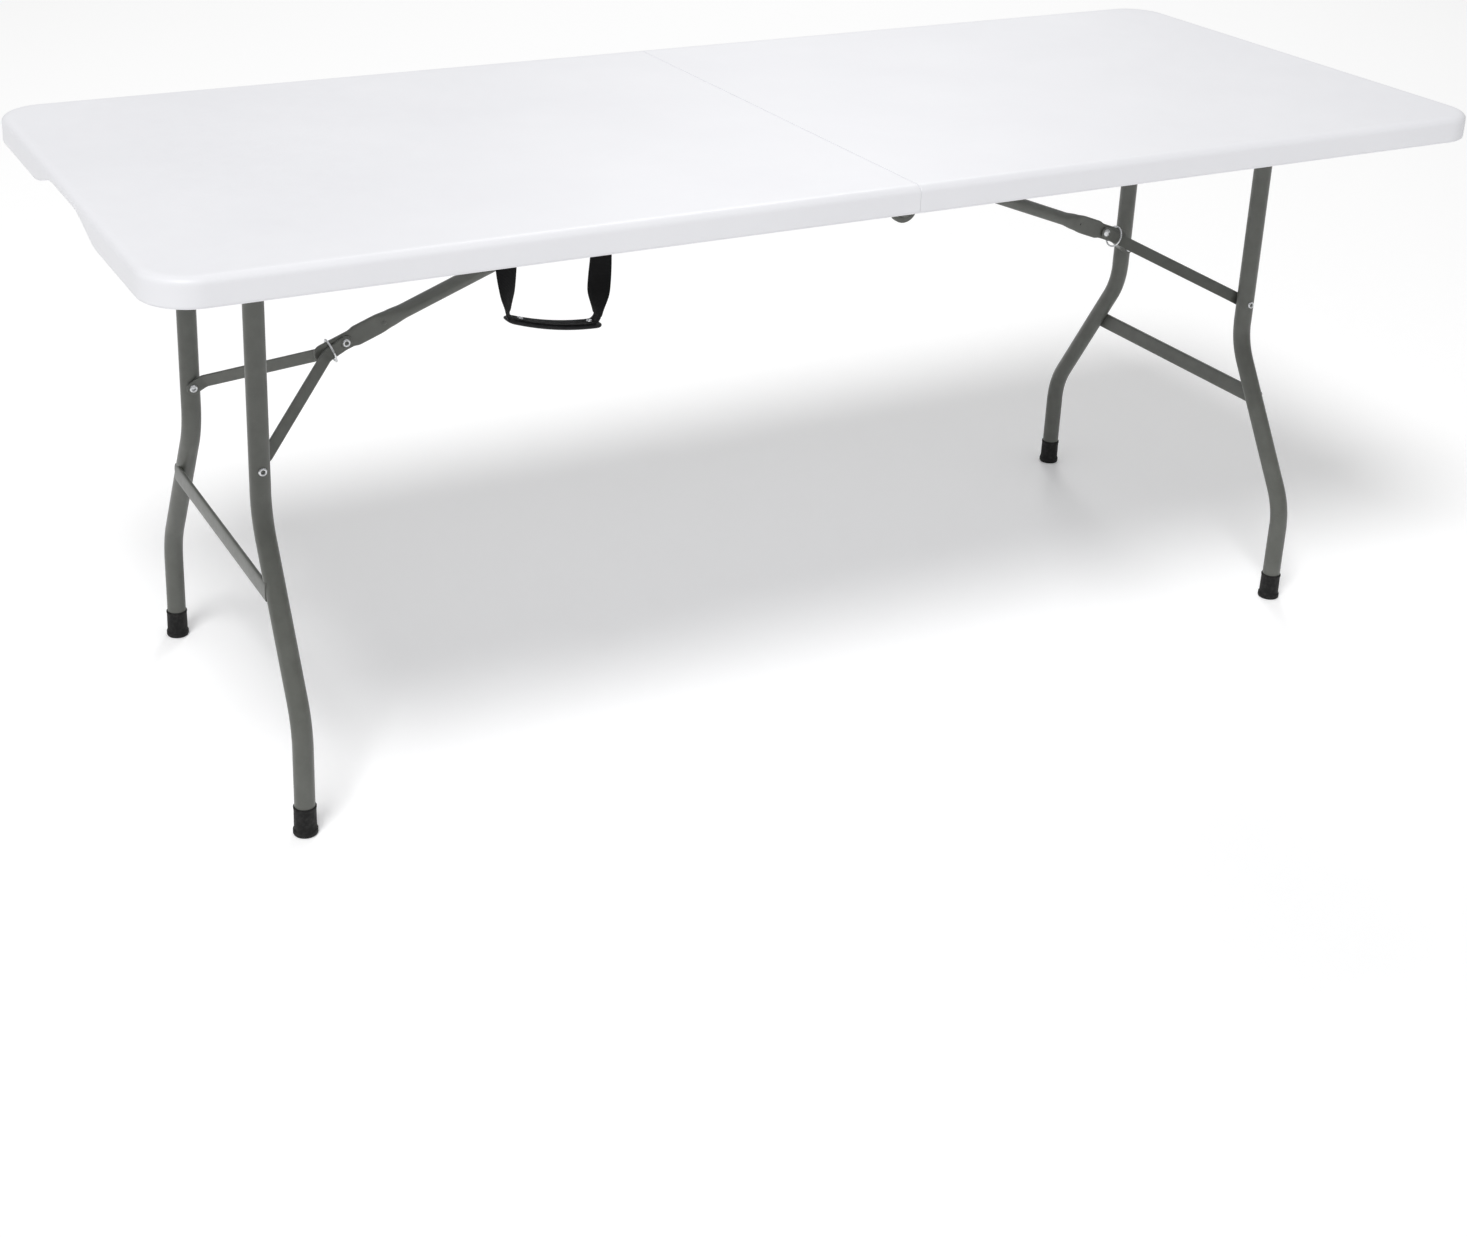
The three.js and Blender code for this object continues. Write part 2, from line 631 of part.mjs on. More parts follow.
// Bar frame: knee rivet at the origin, leg rivet at (-barLength, 0, 0).
function makeBar(side, name) {
  const near = tongueThick / 2 + clearance + barThick / 2;
  const far = barFar;
  const route = [[barTall / 2, near], [-barParallel, near], [-barLength + barEndStraight, far],
    [-barLength - barTall / 2, far]];
  const half = barThick / 2;
  const outline = new THREE.Shape();
  const normals = route.map((_, i) => {
    const a = route[Math.max(i - 1, 0)];
    const b = route[Math.min(i + 1, route.length - 1)];
    const [dx, dy] = [b[0] - a[0], b[1] - a[1]];
    const size = Math.hypot(dx, dy);
    return [-dy / size, dx / size];
  });
  normals[0] = [0, -1];
  normals[route.length - 1] = [0, -1];
  const edge = (sign) => route.map(([x, y], i) =>
    [x + sign * half * normals[i][0], y + sign * half * normals[i][1]]);
  outline.setFromPoints([...edge(1), ...edge(-1).reverse()]
    .map(([x, y]) => new THREE.Vector2(x, y)));
  const strip = new THREE.ExtrudeGeometry(outline, { depth: barTall, bevelEnabled: false });
  strip.translate(0, 0, -barTall / 2);
  if (side < 0) strip.rotateX(Math.PI);
  const ends = new THREE.Shape();
  ends.absarc(0, 0, barTall / 2, -Math.PI / 2, Math.PI / 2);
  ends.absarc(-barLength, 0, barTall / 2, Math.PI / 2, Math.PI * 1.5);
  const silhouette = new THREE.ExtrudeGeometry(ends, {
    depth: 400, curveSegments: 8, bevelEnabled: false });
  silhouette.rotateX(Math.PI / 2).translate(0, 200, 0);
  const body = solid(strip).intersect(solid(silhouette));
  const bores = [0, -barLength].map((x) => pinY(rivetRadius + clearance, -200, 200, x, 0, 16));
  return piece(name, cut(body, ...bores), makePaint());
}

// Rivet stub that ends flush in the bar, so that the linkage stays open here.
function makeBarRivet(side, name) {
  const outer = barFar + barThick / 2;
  const inner = barFar - barThick / 2;
  const shank = pinY(rivetRadius, side > 0 ? inner - 1 : -outer, side > 0 ? outer : -inner + 1,
    -barLength, 0, 16);
  return piece(name, join(shank, rivetHead(-side, -barLength, side * (inner - clearance), 0)),
    makeZinc());
}

function makeKneeRivet(name) {
  const face = tongueThick / 2 + clearance + barThick;
  const shank = pinY(rivetRadius, -face - 1, face + 1, 0, 0, 16);
  return piece(name, join(shank, rivetHead(1, 0, face + clearance, 0),
    rivetHead(-1, 0, -face - clearance, 0)), makeZinc());
}

function makeLockRing(name) {
  const ring = new THREE.TorusGeometry(ringRadius, ringWire, 6, 24);
  ring.rotateY(Math.PI / 2).translate(-ringRest, 0, -ringDrop);
  return piece(name, solid(ring), makeZinc());
}

// ---------------------------------------------------------------- carrying handle
// Webbing loop round the rail, above the swing axis.
function makeLoop(x, name) {
  const [halfY, halfZ] = [railWidth / 2 + clearance, railTall / 2 + clearance];
  const mid = lipZ + railLift + railTall / 2;
  const flat = loopThick * 0.7;
  const outer = block(x - strapWidth / 2, x + strapWidth / 2,
    -railCentre - halfY - loopThick, -railCentre + halfY + loopThick,
    mid - halfZ - flat, mid + halfZ + flat);
  const inner = block(x - strapWidth, x + strapWidth, -railCentre - halfY,
    -railCentre + halfY, mid - halfZ, mid + halfZ);
  return piece(name, cut(outer, inner), makeWebbing());
}

// Drop of the grip's centre line below the swing axis, without its sag.
function gripDrop(x) {
  const [[xa, xb], [a, b]] = [strapPlaces, handleDrops];
  return a + (b - a) * (x - xa) / (xb - xa);
}

// Handle frame: swing axis at the origin, hanging down -Z.
function makeStrap(x, inward, name) {
  const half = strapThick / 2;
  const handleDrop = gripDrop(x);
  const lean = inward * 3;
  const rings = [[1.2, strapWidth, 0], [22, strapWidth - 3, 0], [40, strapWidth - 11, lean],
    [handleDrop - 18, strapNeck, lean], [handleDrop + 1, strapNeck, lean]];
  return piece(name, loft(rings.map(([drop, width, shift]) => [
    new THREE.Vector3(x + shift - width / 2, -half, -drop),
    new THREE.Vector3(x + shift + width / 2, -half, -drop),
    new THREE.Vector3(x + shift + width / 2, half, -drop),
    new THREE.Vector3(x + shift - width / 2, half, -drop)])), makeWebbing());
}

// Curved grip with a slot at each end that takes the strap.
function makeGrip(name) {
  const [x0, x1] = [strapPlaces[0] - gripOverhang, strapPlaces[1] + gripOverhang];
  const middle = (x0 + x1) / 2;
  const steps = 10;
  const rings = Array.from({ length: steps + 1 }, (_, i) => {
    const x = x0 + (x1 - x0) * (i / steps);
    const sag = gripSag * (1 - ((x - middle) / (x1 - middle)) ** 2);
    return ovalRing(x, 0, -gripDrop(x) - sag, gripWidth / 2, gripTall / 2, 3.2, 12);
  });
  const slotHalf = strapThick / 2 + 1;
  const slots = [[strapPlaces[0], x0], [strapPlaces[1], x1]].map(([x, end]) => {
    const floor = -gripDrop(end) - gripTall / 2 + gripSlotFloor;
    return block(x - 18, x + 18, -slotHalf, slotHalf, floor, floor + gripTall + past);
  });
  return piece(name, cut(loft(rings), ...slots), makeBlack());
}

// ---------------------------------------------------------------- assembly
const table = new THREE.Group();

function makeLegFrame(label) {
  const frame = new THREE.Group();
  frame.position.set(-pivotReach, 0, pivotZ);
  frame.add(makeCrossTube(`cross_tube_${label}`), makeStretcher(`stretcher_${label}`));
  for (const [side, where] of [[-1, 'a'], [1, 'b']]) {
    frame.add(makeLeg(side, `leg_${label}_${where}`));
    frame.add(makeLegRivet(side, `leg_rivet_${label}_${where}`));
    frame.add(makeFootCap(side, `foot_cap_${label}_${where}`));
  }
  return frame;
}

function makeBraceGroup(label) {
  const brace = new THREE.Group();
  brace.position.set(kneeX, 0, kneeZ);
  brace.rotation.y = -tubeFall;
  brace.add(makeBrace(`brace_${label}`), makeLockRing(`lock_ring_${label}`));
  return brace;
}

function makeBarGroup(label) {
  const bars = new THREE.Group();
  bars.position.set(kneeX, 0, kneeZ);
  bars.rotation.y = -barFall;
  bars.add(makeKneeRivet(`knee_rivet_${label}`));
  for (const [side, where] of [[-1, 'a'], [1, 'b']]) {
    bars.add(makeBar(side, `brace_bar_${label}_${where}`));
    bars.add(makeBarRivet(side, `bar_rivet_${label}_${where}`));
  }
  return bars;
}

function makeHalf(label, turn) {
  const half = new THREE.Group();
  half.rotation.z = turn;
  half.add(makeTop(`top_${label}`), makeStorageClip(`storage_clip_${label}`));
  for (const [side, where] of [[-1, 'a'], [1, 'b']]) {
    half.add(makeRail(side, `rail_${label}_${where}`));
    half.add(makeRailPlug(side, `rail_plug_${label}_${where}`));
    half.add(makeHingePlate(side, -2, `hinge_plate_${label}_${where}`));
    half.add(makePivotClip(side, `pivot_clip_${label}_${where}`));
  }
  half.add(makeLegFrame(label), makeBraceGroup(label), makeBarGroup(label));
  return half;
}

function makeCentreTube() {
  const outer = pinY(centreTubeRadius, -centreTubeHalf, centreTubeHalf, 0, foldZ);
  const inner = pinY(centreTubeRadius - tubeWall, -centreTubeHalf - 1, centreTubeHalf + 1,
    0, foldZ);
  return piece('centre_tube', cut(outer, inner), makePaint());
}

function makeHandle() {
  const handle = new THREE.Group();
  handle.position.set(0, -railCentre, foldZ);
  handle.add(makeStrap(strapPlaces[0], 1, 'handle_strap_a'));
  handle.add(makeStrap(strapPlaces[1], -1, 'handle_strap_b'));
  handle.add(makeGrip('handle_grip'));
  return handle;
}

table.add(makeHalf('left', 0), makeHalf('right', Math.PI));
table.add(makeCentreTube(), makeHandle());
table.add(makeLoop(strapPlaces[0], 'rail_loop_a'), makeLoop(strapPlaces[1], 'rail_loop_b'));

export default table;
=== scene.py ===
"""Fold-in-half table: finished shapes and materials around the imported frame.

Everything is in the row frame: metres, +Z up, +X along the table, -Y towards the handle.
The table has half-turn symmetry about Z, so each piece is shaped for the left half and
turned by 180 degrees for the right half.
"""
import json
import math

import bmesh
import bpy
import numpy as np
from mathutils import Matrix, Vector


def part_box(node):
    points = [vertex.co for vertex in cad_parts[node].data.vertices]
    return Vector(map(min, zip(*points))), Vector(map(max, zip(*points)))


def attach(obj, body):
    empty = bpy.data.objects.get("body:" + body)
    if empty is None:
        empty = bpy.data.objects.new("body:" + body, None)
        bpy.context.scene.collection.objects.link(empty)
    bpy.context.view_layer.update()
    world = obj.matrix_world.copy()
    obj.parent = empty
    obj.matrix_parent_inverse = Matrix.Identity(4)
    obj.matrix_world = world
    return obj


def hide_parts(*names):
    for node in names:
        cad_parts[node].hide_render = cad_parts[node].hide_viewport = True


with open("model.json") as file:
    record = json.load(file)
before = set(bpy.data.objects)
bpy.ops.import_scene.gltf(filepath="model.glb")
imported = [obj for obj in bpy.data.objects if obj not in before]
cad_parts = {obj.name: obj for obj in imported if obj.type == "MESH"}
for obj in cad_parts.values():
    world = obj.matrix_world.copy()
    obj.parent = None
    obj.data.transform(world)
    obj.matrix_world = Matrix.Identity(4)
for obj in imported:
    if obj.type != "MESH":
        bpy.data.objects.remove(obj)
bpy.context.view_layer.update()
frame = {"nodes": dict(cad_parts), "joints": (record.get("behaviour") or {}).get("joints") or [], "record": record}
MM = 0.001
AXIS_X, AXIS_Y, AXIS_Z = Vector((1, 0, 0)), Vector((0, 1, 0)), Vector((0, 0, 1))

# ---- places from the frame
JOINTS = {joint["name"]: joint for joint in frame["joints"]}
FOLD = Vector(JOINTS["fold_left"]["pos_m"])
PIVOT = Vector(JOINTS["leg_left_fold"]["pos_m"])
KNEE = Vector(JOINTS["bars_left_swing"]["pos_m"])
TOP_LOW, TOP_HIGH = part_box("top_left")
RAIL_LOW, RAIL_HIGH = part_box("rail_left_a")
LEG_LOW, LEG_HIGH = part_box("leg_left_b")
SIDES = (("a", -1), ("b", 1))
HALVES = (("left", 0.0), ("right", math.pi))

END_X, SEAM_X = TOP_LOW.x, TOP_HIGH.x
SIDE_Y = TOP_HIGH.y
LIP_Z, TOP_Z = TOP_LOW.z, TOP_HIGH.z
FLOOR_Z = TOP_Z - 11 * MM            # underside of the plate inside the rim
CORNER = 58 * MM                     # plan radius of the outer corners
END_RIM = 20 * MM
SIDE_RIM = 25.5 * MM

LEG_R = (LEG_HIGH.x - LEG_LOW.x) / 2
LEG_TOP_Y = 142 * MM
LEG_FOOT_Y = LEG_HIGH.y - LEG_R
UPPER_BEND, LOWER_BEND = 362 * MM, 577 * MM
BEND_R = 110 * MM
LEG_RIVET_DROP = 302 * MM
STRETCHER_DROP = 440 * MM
BRACE_RISE = 20 * MM                 # folded brace above the fold axis
BRACE_R = 9.5 * MM
FLAT_HALF = 13.2 * MM                # half height of the flattened stretch
DIMPLE_AT = 54 * MM                  # from the knee rivet, along the brace
TONGUE_TIP = -42 * MM                # beyond the knee rivet, along the brace
TONGUE_HALF = 11 * MM
BAR_NEAR, BAR_FAR = 4.3 * MM, 127.3 * MM     # |y| of a bar's middle at the knee and the leg
BAR_THICK, BAR_TALL = 3 * MM, 17 * MM
RIVET_STEM = 4 * MM                  # radius
STRETCHER_SHIFT = 1.35 * MM          # inward, and thinner by as much each side
STRAPS = (-515 * MM, -400 * MM)
BAND_WIDE, BAND_NECK = 26 * MM, 17 * MM      # at the rail and along the grip
LOOP_WIDE = 27 * MM
STRAP_STEPS = 15
HANDLE_Y = JOINTS["handle_swing"]["pos_m"][1]
GRIP_SPAN = (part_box("handle_grip")[0].x + 11.5 * MM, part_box("handle_grip")[1].x + 2 * MM)
GRIP_DROPS = (68 * MM, 89.5 * MM)    # below the swing axis at each strap
GRIP_SAG, GRIP_TALL = 5.5 * MM, 5.4 * MM


# ---- mesh tools
def in_mm(*pairs):
    """(radius, height) pairs given in millimetres."""
    return [(a * MM, b * MM) for a, b in pairs]


def smooth(t):
    t = np.clip(t, 0, 1)
    return t * t * (3 - 2 * t)


def new_object(name, data):
    obj = bpy.data.objects.new(name, data)
    bpy.context.scene.collection.objects.link(obj)
    return obj


def placed(name, mesh, sharp):
    """Smooth-shaded object of a mesh, with edges above the angle kept sharp."""
    mesh.shade_smooth()
    mesh.set_sharp_from_angle(angle=math.radians(sharp))
    return new_object(name, mesh)


def make_object(name, points, faces, sharp=35):
    mesh = bpy.data.meshes.new(name)
    mesh.from_pydata([tuple(p) for p in points], [], faces)
    return placed(name, mesh, sharp)


def outward(obj):
    """Turns the faces of a closed mesh to face out."""
    shape = bmesh.new()
    shape.from_mesh(obj.data)
    bmesh.ops.remove_doubles(shape, verts=shape.verts, dist=1e-6)
    bmesh.ops.recalc_face_normals(shape, faces=shape.faces)
    shape.to_mesh(obj.data)
    shape.free()
    return obj


def joined(name, objects, sharp=35):
    """One object out of several closed shells."""
    shape = bmesh.new()
    for obj in objects:
        obj.data.transform(obj.matrix_world)
        shape.from_mesh(obj.data)
        bpy.data.objects.remove(obj)
    mesh = bpy.data.meshes.new(name)
    shape.to_mesh(mesh)
    shape.free()
    return placed(name, mesh, sharp)


def finish_piece(obj, turn, body, finish, *nodes):
    """Turns a piece into place and ties it to its body. A finish is (material, slot)."""
    material, slot = finish
    if turn:
        obj.data.transform(Matrix.Rotation(turn, 4, "Z"))
    obj.data.materials.clear()
    obj.data.materials.append(material)
    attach(obj, body)
    if nodes:
        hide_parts(*nodes)


def sweep(name, stations, side, sharp=35):
    """Skins rings of equal size. A station is (centre, tangent, ring of offsets)."""
    points = []
    for centre, tangent, ring in stations:
        normal = tangent.cross(side).normalized()
        across = normal.cross(tangent).normalized()
        points += [centre + across * a + normal * b for a, b in ring]
    faces = tube_faces(len(stations), len(stations[0][2]))
    return outward(make_object(name, points, faces, sharp))


def oval(half_a, half_b, power=2.0, count=40):
    """Ring of a super-ellipse."""
    def bulge(value):
        return math.copysign(abs(value) ** (2 / power), value)

    angles = [2 * math.pi * (i + 0.5) / count for i in range(count)]
    return [(bulge(math.cos(a)) * half_a, bulge(math.sin(a)) * half_b) for a in angles]


def lathe(name, profile, axis_point, axis, count=40, sharp=35):
    """Body of revolution: profile lists (radius, height) from the axis to the axis."""
    axis = Vector(axis).normalized()
    side = axis.orthogonal().normalized()
    other = axis.cross(side)
    points, faces, rows = [], [], []
    for radius, height in profile:
        base = Vector(axis_point) + axis * height
        if radius < 1e-7:
            rows.append([len(points)] * count)
            points.append(base)
            continue
        rows.append(list(range(len(points), len(points) + count)))
        for i in range(count):
            angle = 2 * math.pi * i / count
            points.append(base + (side * math.cos(angle) + other * math.sin(angle)) * radius)
    for low, high in zip(rows, rows[1:]):
        for i in range(count):
            j = (i + 1) % count
            face = tuple(dict.fromkeys((low[i], low[j], high[j], high[i])))
            if len(face) > 2:
                faces.append(face)
    return outward(make_object(name, points, faces, sharp))


def arc_corner(a, corner, b, radius, steps=10):
    """Points of a round bend between the lines a-corner and corner-b."""
    into, out = (corner - a).normalized(), (b - corner).normalized()
    turn = into.angle(out)
    if turn < 1e-4:
        return [corner.copy()]
    reach = radius * math.tan(turn / 2)
    start = corner - into * reach
    inward = (out - into * into.dot(out)).normalized()
    centre = start + inward * radius
    points = []
    for i in range(steps + 1):
        angle = turn * i / steps
        points.append(centre - inward * (radius * math.cos(angle)) + into * (radius * math.sin(angle)))
    return points


def with_tangents(points):
    """(point, tangent) pairs of a route."""
    pairs = []
    for i, point in enumerate(points):
        before, after = points[max(i - 1, 0)], points[min(i + 1, len(points) - 1)]
        pairs.append((point, (after - before).normalized()))
    return pairs


def rounded_path(corners, radius, steps=10):
    """Points of a route through corners with round bends."""
    points = [corners[0]]
    for a, corner, b in zip(corners, corners[1:], corners[2:]):
        points += arc_corner(a, corner, b, radius, steps)
    return points + [corners[-1]]


def torus_faces(steps, sides):
    """Quads round a ring of steps circles of sides points each."""
    faces = []
    for i in range(steps):
        for j in range(sides):
            a, b = i * sides + j, i * sides + (j + 1) % sides
            c, d = ((i + 1) % steps) * sides + (j + 1) % sides, ((i + 1) % steps) * sides + j
            faces.append((a, b, c, d))
    return faces


def tube_faces(rows, count):
    """Quads between neighbouring rings of count points, with a cap at each end."""
    faces = []
    for row in range(rows - 1):
        for i in range(count):
            j = (i + 1) % count
            low, high = row * count, (row + 1) * count
            faces.append((low + i, low + j, high + j, high + i))
    faces.append(tuple(reversed(range(count))))
    faces.append(tuple(range((rows - 1) * count, rows * count)))
    return faces


# ---- materials
def new_material(name, color, roughness, metallic=0.0):
    material = bpy.data.materials.new(name)
    material.use_nodes = True
    shader = material.node_tree.nodes["Principled BSDF"]
    shader.inputs["Base Color"].default_value = (*color, 1)
    shader.inputs["Roughness"].default_value = roughness
    shader.inputs["Metallic"].default_value = metallic
    return material, shader


class Nodes:
    """Short helpers for one material's node tree."""

    def __init__(self, material):
        self.tree = material.node_tree
        self.position = self.add("ShaderNodeTexCoord").outputs["Object"]

    def add(self, kind, **values):
        node = self.tree.nodes.new(kind)
        for key, value in values.items():
            if hasattr(node, key):
                setattr(node, key, value)
            else:
                node.inputs[key.replace("_", " ")].default_value = value
        return node

    def link(self, out, into):
        self.tree.links.new(out, into)

    def noise(self, scale, detail=3.0, rough=0.5):
        node = self.add("ShaderNodeTexNoise", Scale=scale, Detail=detail, Roughness=rough)
        self.link(self.position, node.inputs["Vector"])
        return node.outputs["Fac"]

    def ramp(self, value, low, high, color_low, color_high):
        node = self.add("ShaderNodeValToRGB")
        ends = node.color_ramp.elements
        ends[0].position, ends[1].position = low, high
        ends[0].color, ends[1].color = (*color_low, 1), (*color_high, 1)
        self.link(value, node.inputs["Fac"])
        return node.outputs["Color"]

    def spread(self, value, low, high):
        """Maps a 0 to 1 value onto low to high."""
        node = self.add("ShaderNodeMapRange")
        node.inputs["To Min"].default_value = low
        node.inputs["To Max"].default_value = high
        self.link(value, node.inputs["Value"])
        return node.outputs["Result"]

    def product(self, a, b):
        node = self.add("ShaderNodeMath", operation="MULTIPLY")
        self.link(a, node.inputs[0])
        self.link(b, node.inputs[1])
        return node.outputs["Value"]

    def bump(self, height, strength, distance, normal=None):
        node = self.add("ShaderNodeBump", Strength=strength, Distance=distance)
        self.link(height, node.inputs["Height"])
        if normal:
            self.link(normal, node.inputs["Normal"])
        return node.outputs["Normal"]


def moulded_white():
    """Blow-moulded polyethylene: fine pebble, faint flow variation, soft gloss."""
    material, shader = new_material("moulded_white", (0.84, 0.84, 0.868), 0.42)
    shader.inputs["Specular IOR Level"].default_value = 0.42
    n = Nodes(material)
    flow = n.noise(5.0, 4.0, 0.55)
    n.link(n.ramp(flow, 0.3, 0.75, (0.82, 0.822, 0.852), (0.85, 0.852, 0.88)),
           shader.inputs["Base Color"])
    n.link(n.spread(n.noise(60.0, 3.0), 0.36, 0.52), shader.inputs["Roughness"])
    pebble = n.add("ShaderNodeTexVoronoi", feature="SMOOTH_F1", Scale=1100.0)
    n.link(n.position, pebble.inputs["Vector"])
    wave = n.bump(n.noise(14.0, 2.0), 0.10, 0.0012)
    fine = n.bump(n.noise(900.0, 2.0), 0.10, 0.00012, wave)
    n.link(n.bump(pebble.outputs["Distance"], 0.16, 0.00012, fine), shader.inputs["Normal"])
    return material


def powder_coat():
    """Grey powder coat on steel tube: orange peel, faint mottling, worn specks."""
    material, shader = new_material("powder_coat", (0.108, 0.111, 0.1), 0.36)
    shader.inputs["Specular IOR Level"].default_value = 0.4
    n = Nodes(material)
    mottle = n.ramp(n.noise(38.0, 5.0, 0.6), 0.3, 0.7, (0.098, 0.102, 0.091), (0.120, 0.124, 0.112))
    specks = n.ramp(n.noise(520.0, 2.0, 0.6), 0.74, 0.8, (0, 0, 0), (1, 1, 1))
    mix = n.add("ShaderNodeMix", data_type="RGBA")
    n.link(specks, mix.inputs["Factor"])
    n.link(mottle, mix.inputs["A"])
    mix.inputs["B"].default_value = (0.2, 0.205, 0.192, 1)
    n.link(mix.outputs["Result"], shader.inputs["Base Color"])
    n.link(n.spread(n.noise(110.0, 3.0), 0.27, 0.42), shader.inputs["Roughness"])
    peel = n.bump(n.noise(420.0, 2.0), 0.12, 0.0002)
    n.link(n.bump(n.noise(1700.0, 1.0), 0.08, 0.00008, peel), shader.inputs["Normal"])
    return material


def grained(name, color, roughness, tint, gloss, grain, metallic=0.0, specular=0.5):
    """Mottled colour, patchy gloss and a fine grain, each from a noise of its own.

    A noise is (scale, detail, roughness). tint adds the ramp's two places and colours to
    it, gloss the lowest and highest roughness, and grain the bump's strength and depth."""
    material, shader = new_material(name, color, roughness, metallic)
    shader.inputs["Specular IOR Level"].default_value = specular
    n = Nodes(material)
    n.link(n.ramp(n.noise(*tint[0]), *tint[1:]), shader.inputs["Base Color"])
    n.link(n.spread(n.noise(*gloss[0]), *gloss[1:]), shader.inputs["Roughness"])
    n.link(n.bump(n.noise(*grain[0]), *grain[1:]), shader.inputs["Normal"])
    return material


def black_plastic():
    """Black moulded plastic: satin with a fine spark-eroded grain."""
    return grained("black_plastic", (0.012, 0.012, 0.013), 0.45,
                   ((90.0, 4.0), 0.3, 0.75, (0.009, 0.009, 0.010), (0.018, 0.018, 0.019)),
                   ((260.0, 3.0), 0.36, 0.58), ((1500.0, 2.0), 0.25, 0.0001), specular=0.18)


def black_foot():
    """Dull black foot caps, a little scuffed."""
    return grained("black_foot", (0.013, 0.013, 0.013), 0.62,
                   ((160.0, 5.0, 0.65), 0.45, 0.8, (0.011, 0.011, 0.011), (0.032, 0.031, 0.030)),
                   ((300.0, 3.0), 0.52, 0.75), ((900.0, 3.0), 0.3, 0.00012), specular=0.18)


def zinc():
    """Bright zinc plate with faint spangle and handling marks."""
    return grained("zinc", (0.66, 0.67, 0.69), 0.26,
                   ((240.0, 4.0), 0.3, 0.7, (0.56, 0.57, 0.58), (0.74, 0.75, 0.76)),
                   ((500.0, 4.0), 0.18, 0.38), ((800.0, 2.0), 0.12, 0.0001), metallic=1.0)


def webbing():
    """Woven black webbing. Its UV map is in metres: along the band, then across."""
    material, shader = new_material("black_webbing", (0.012, 0.012, 0.013), 0.8)
    shader.inputs["Specular IOR Level"].default_value = 0.18
    shader.inputs["Sheen Weight"].default_value = 0.05
    shader.inputs["Sheen Roughness"].default_value = 0.5
    n = Nodes(material)
    uv = n.add("ShaderNodeTexCoord").outputs["UV"]
    heights = []
    for direction, pitch in (("X", 0.0016), ("Y", 0.0012)):
        wave = n.add("ShaderNodeTexWave", bands_direction=direction, Scale=0.314 / pitch)
        n.link(uv, wave.inputs["Vector"])
        heights.append(wave.outputs["Fac"])
    weave = n.product(*heights)
    n.link(n.ramp(weave, 0.1, 0.9, (0.002, 0.002, 0.0022), (0.008, 0.008, 0.009)),
           shader.inputs["Base Color"])
    fuzz = n.bump(n.noise(2600.0, 2.0), 0.2, 0.0001)
    n.link(n.bump(weave, 0.8, 0.0003, fuzz), shader.inputs["Normal"])
    return material


WHITE = (moulded_white(), "moulded_white")
GREY = (powder_coat(), "grey_powder_coat")
BLACK = (black_plastic(), "black_plastic")
FOOT = (black_foot(), "black_foot")
BAND = (webbing(), "black_webbing")
ZINC = (zinc(), "zinc")


# ---- moulded top: relief
PITCH = 30 * MM                      # between neighbouring slots of the underside
LEG_LINE = PIVOT.x                   # the folded leg runs from here towards the seam
KNEE_FOLDED = FOLD.x - math.hypot(KNEE.x, KNEE.z - FOLD.z)
BAR_RIVET_X = LEG_LINE + LEG_RIVET_DROP


def segment_distance(x, y, a, b):
    """Distance of points to the segment a-b in plan."""
    dx, dy = b[0] - a[0], b[1] - a[1]
    t = np.clip(((x - a[0]) * dx + (y - a[1]) * dy) / (dx * dx + dy * dy), 0, 1)
    return np.hypot(x - a[0] - t * dx, y - a[1] - t * dy)


def route_distance(x, y, route):
    return np.min([segment_distance(x, y, a, b) for a, b in zip(route, route[1:])], axis=0)


def stadium(along, across, length, width):
    """Depth inside a round-ended slot, from 0 at its edge to half its width."""
    reach = np.maximum(np.abs(along) - (length - width) / 2, 0)
    return width / 2 - np.hypot(reach, across)


def slot_relief(x, y):
    """Chequer of round-ended slots, long ways along and across by turns."""
    u, v = (x - END_X - 33 * MM) / PITCH, y / PITCH
    i, j = np.rint(u), np.rint(v)
    du, dv = (u - i) * PITCH, (v - j) * PITCH
    along = (i + j) % 2 == 0
    long_slot = stadium(du, dv, 26 * MM, 8 * MM)
    cross_slot = stadium(dv, du, 20 * MM, 10 * MM)
    dot = stadium(du, dv, 9 * MM, 6.5 * MM)
    cross_slot = np.where(i == 0, dot, cross_slot)
    depth = smooth(np.where(along, long_slot, cross_slot) / (2.6 * MM)) * 5.2 * MM
    saddle = np.exp(-(dv / (2.6 * MM)) ** 2) * 1.6 * MM
    return np.where(along | (i == 0), depth, np.maximum(depth - saddle * (depth > 0), 0))


def teardrop_relief(x, y):
    """Row of teardrop pockets beside the seam."""
    pitch = 26 * MM
    j = np.rint(y / pitch)
    dv = y - j * pitch
    swing = 5 * MM * np.cos(j * 0.9)
    du = x - (SEAM_X - 44 * MM) + swing
    width = 15 * MM - 4 * MM * np.clip(du / (20 * MM), -1, 1)
    inside = width / 2 - np.hypot(np.maximum(np.abs(du) - 11 * MM, 0), dv)
    return smooth(inside / (4 * MM)) * 6.5 * MM


def channel(distance, half, depth, wall=4 * MM):
    return smooth((half - distance) / wall) * depth


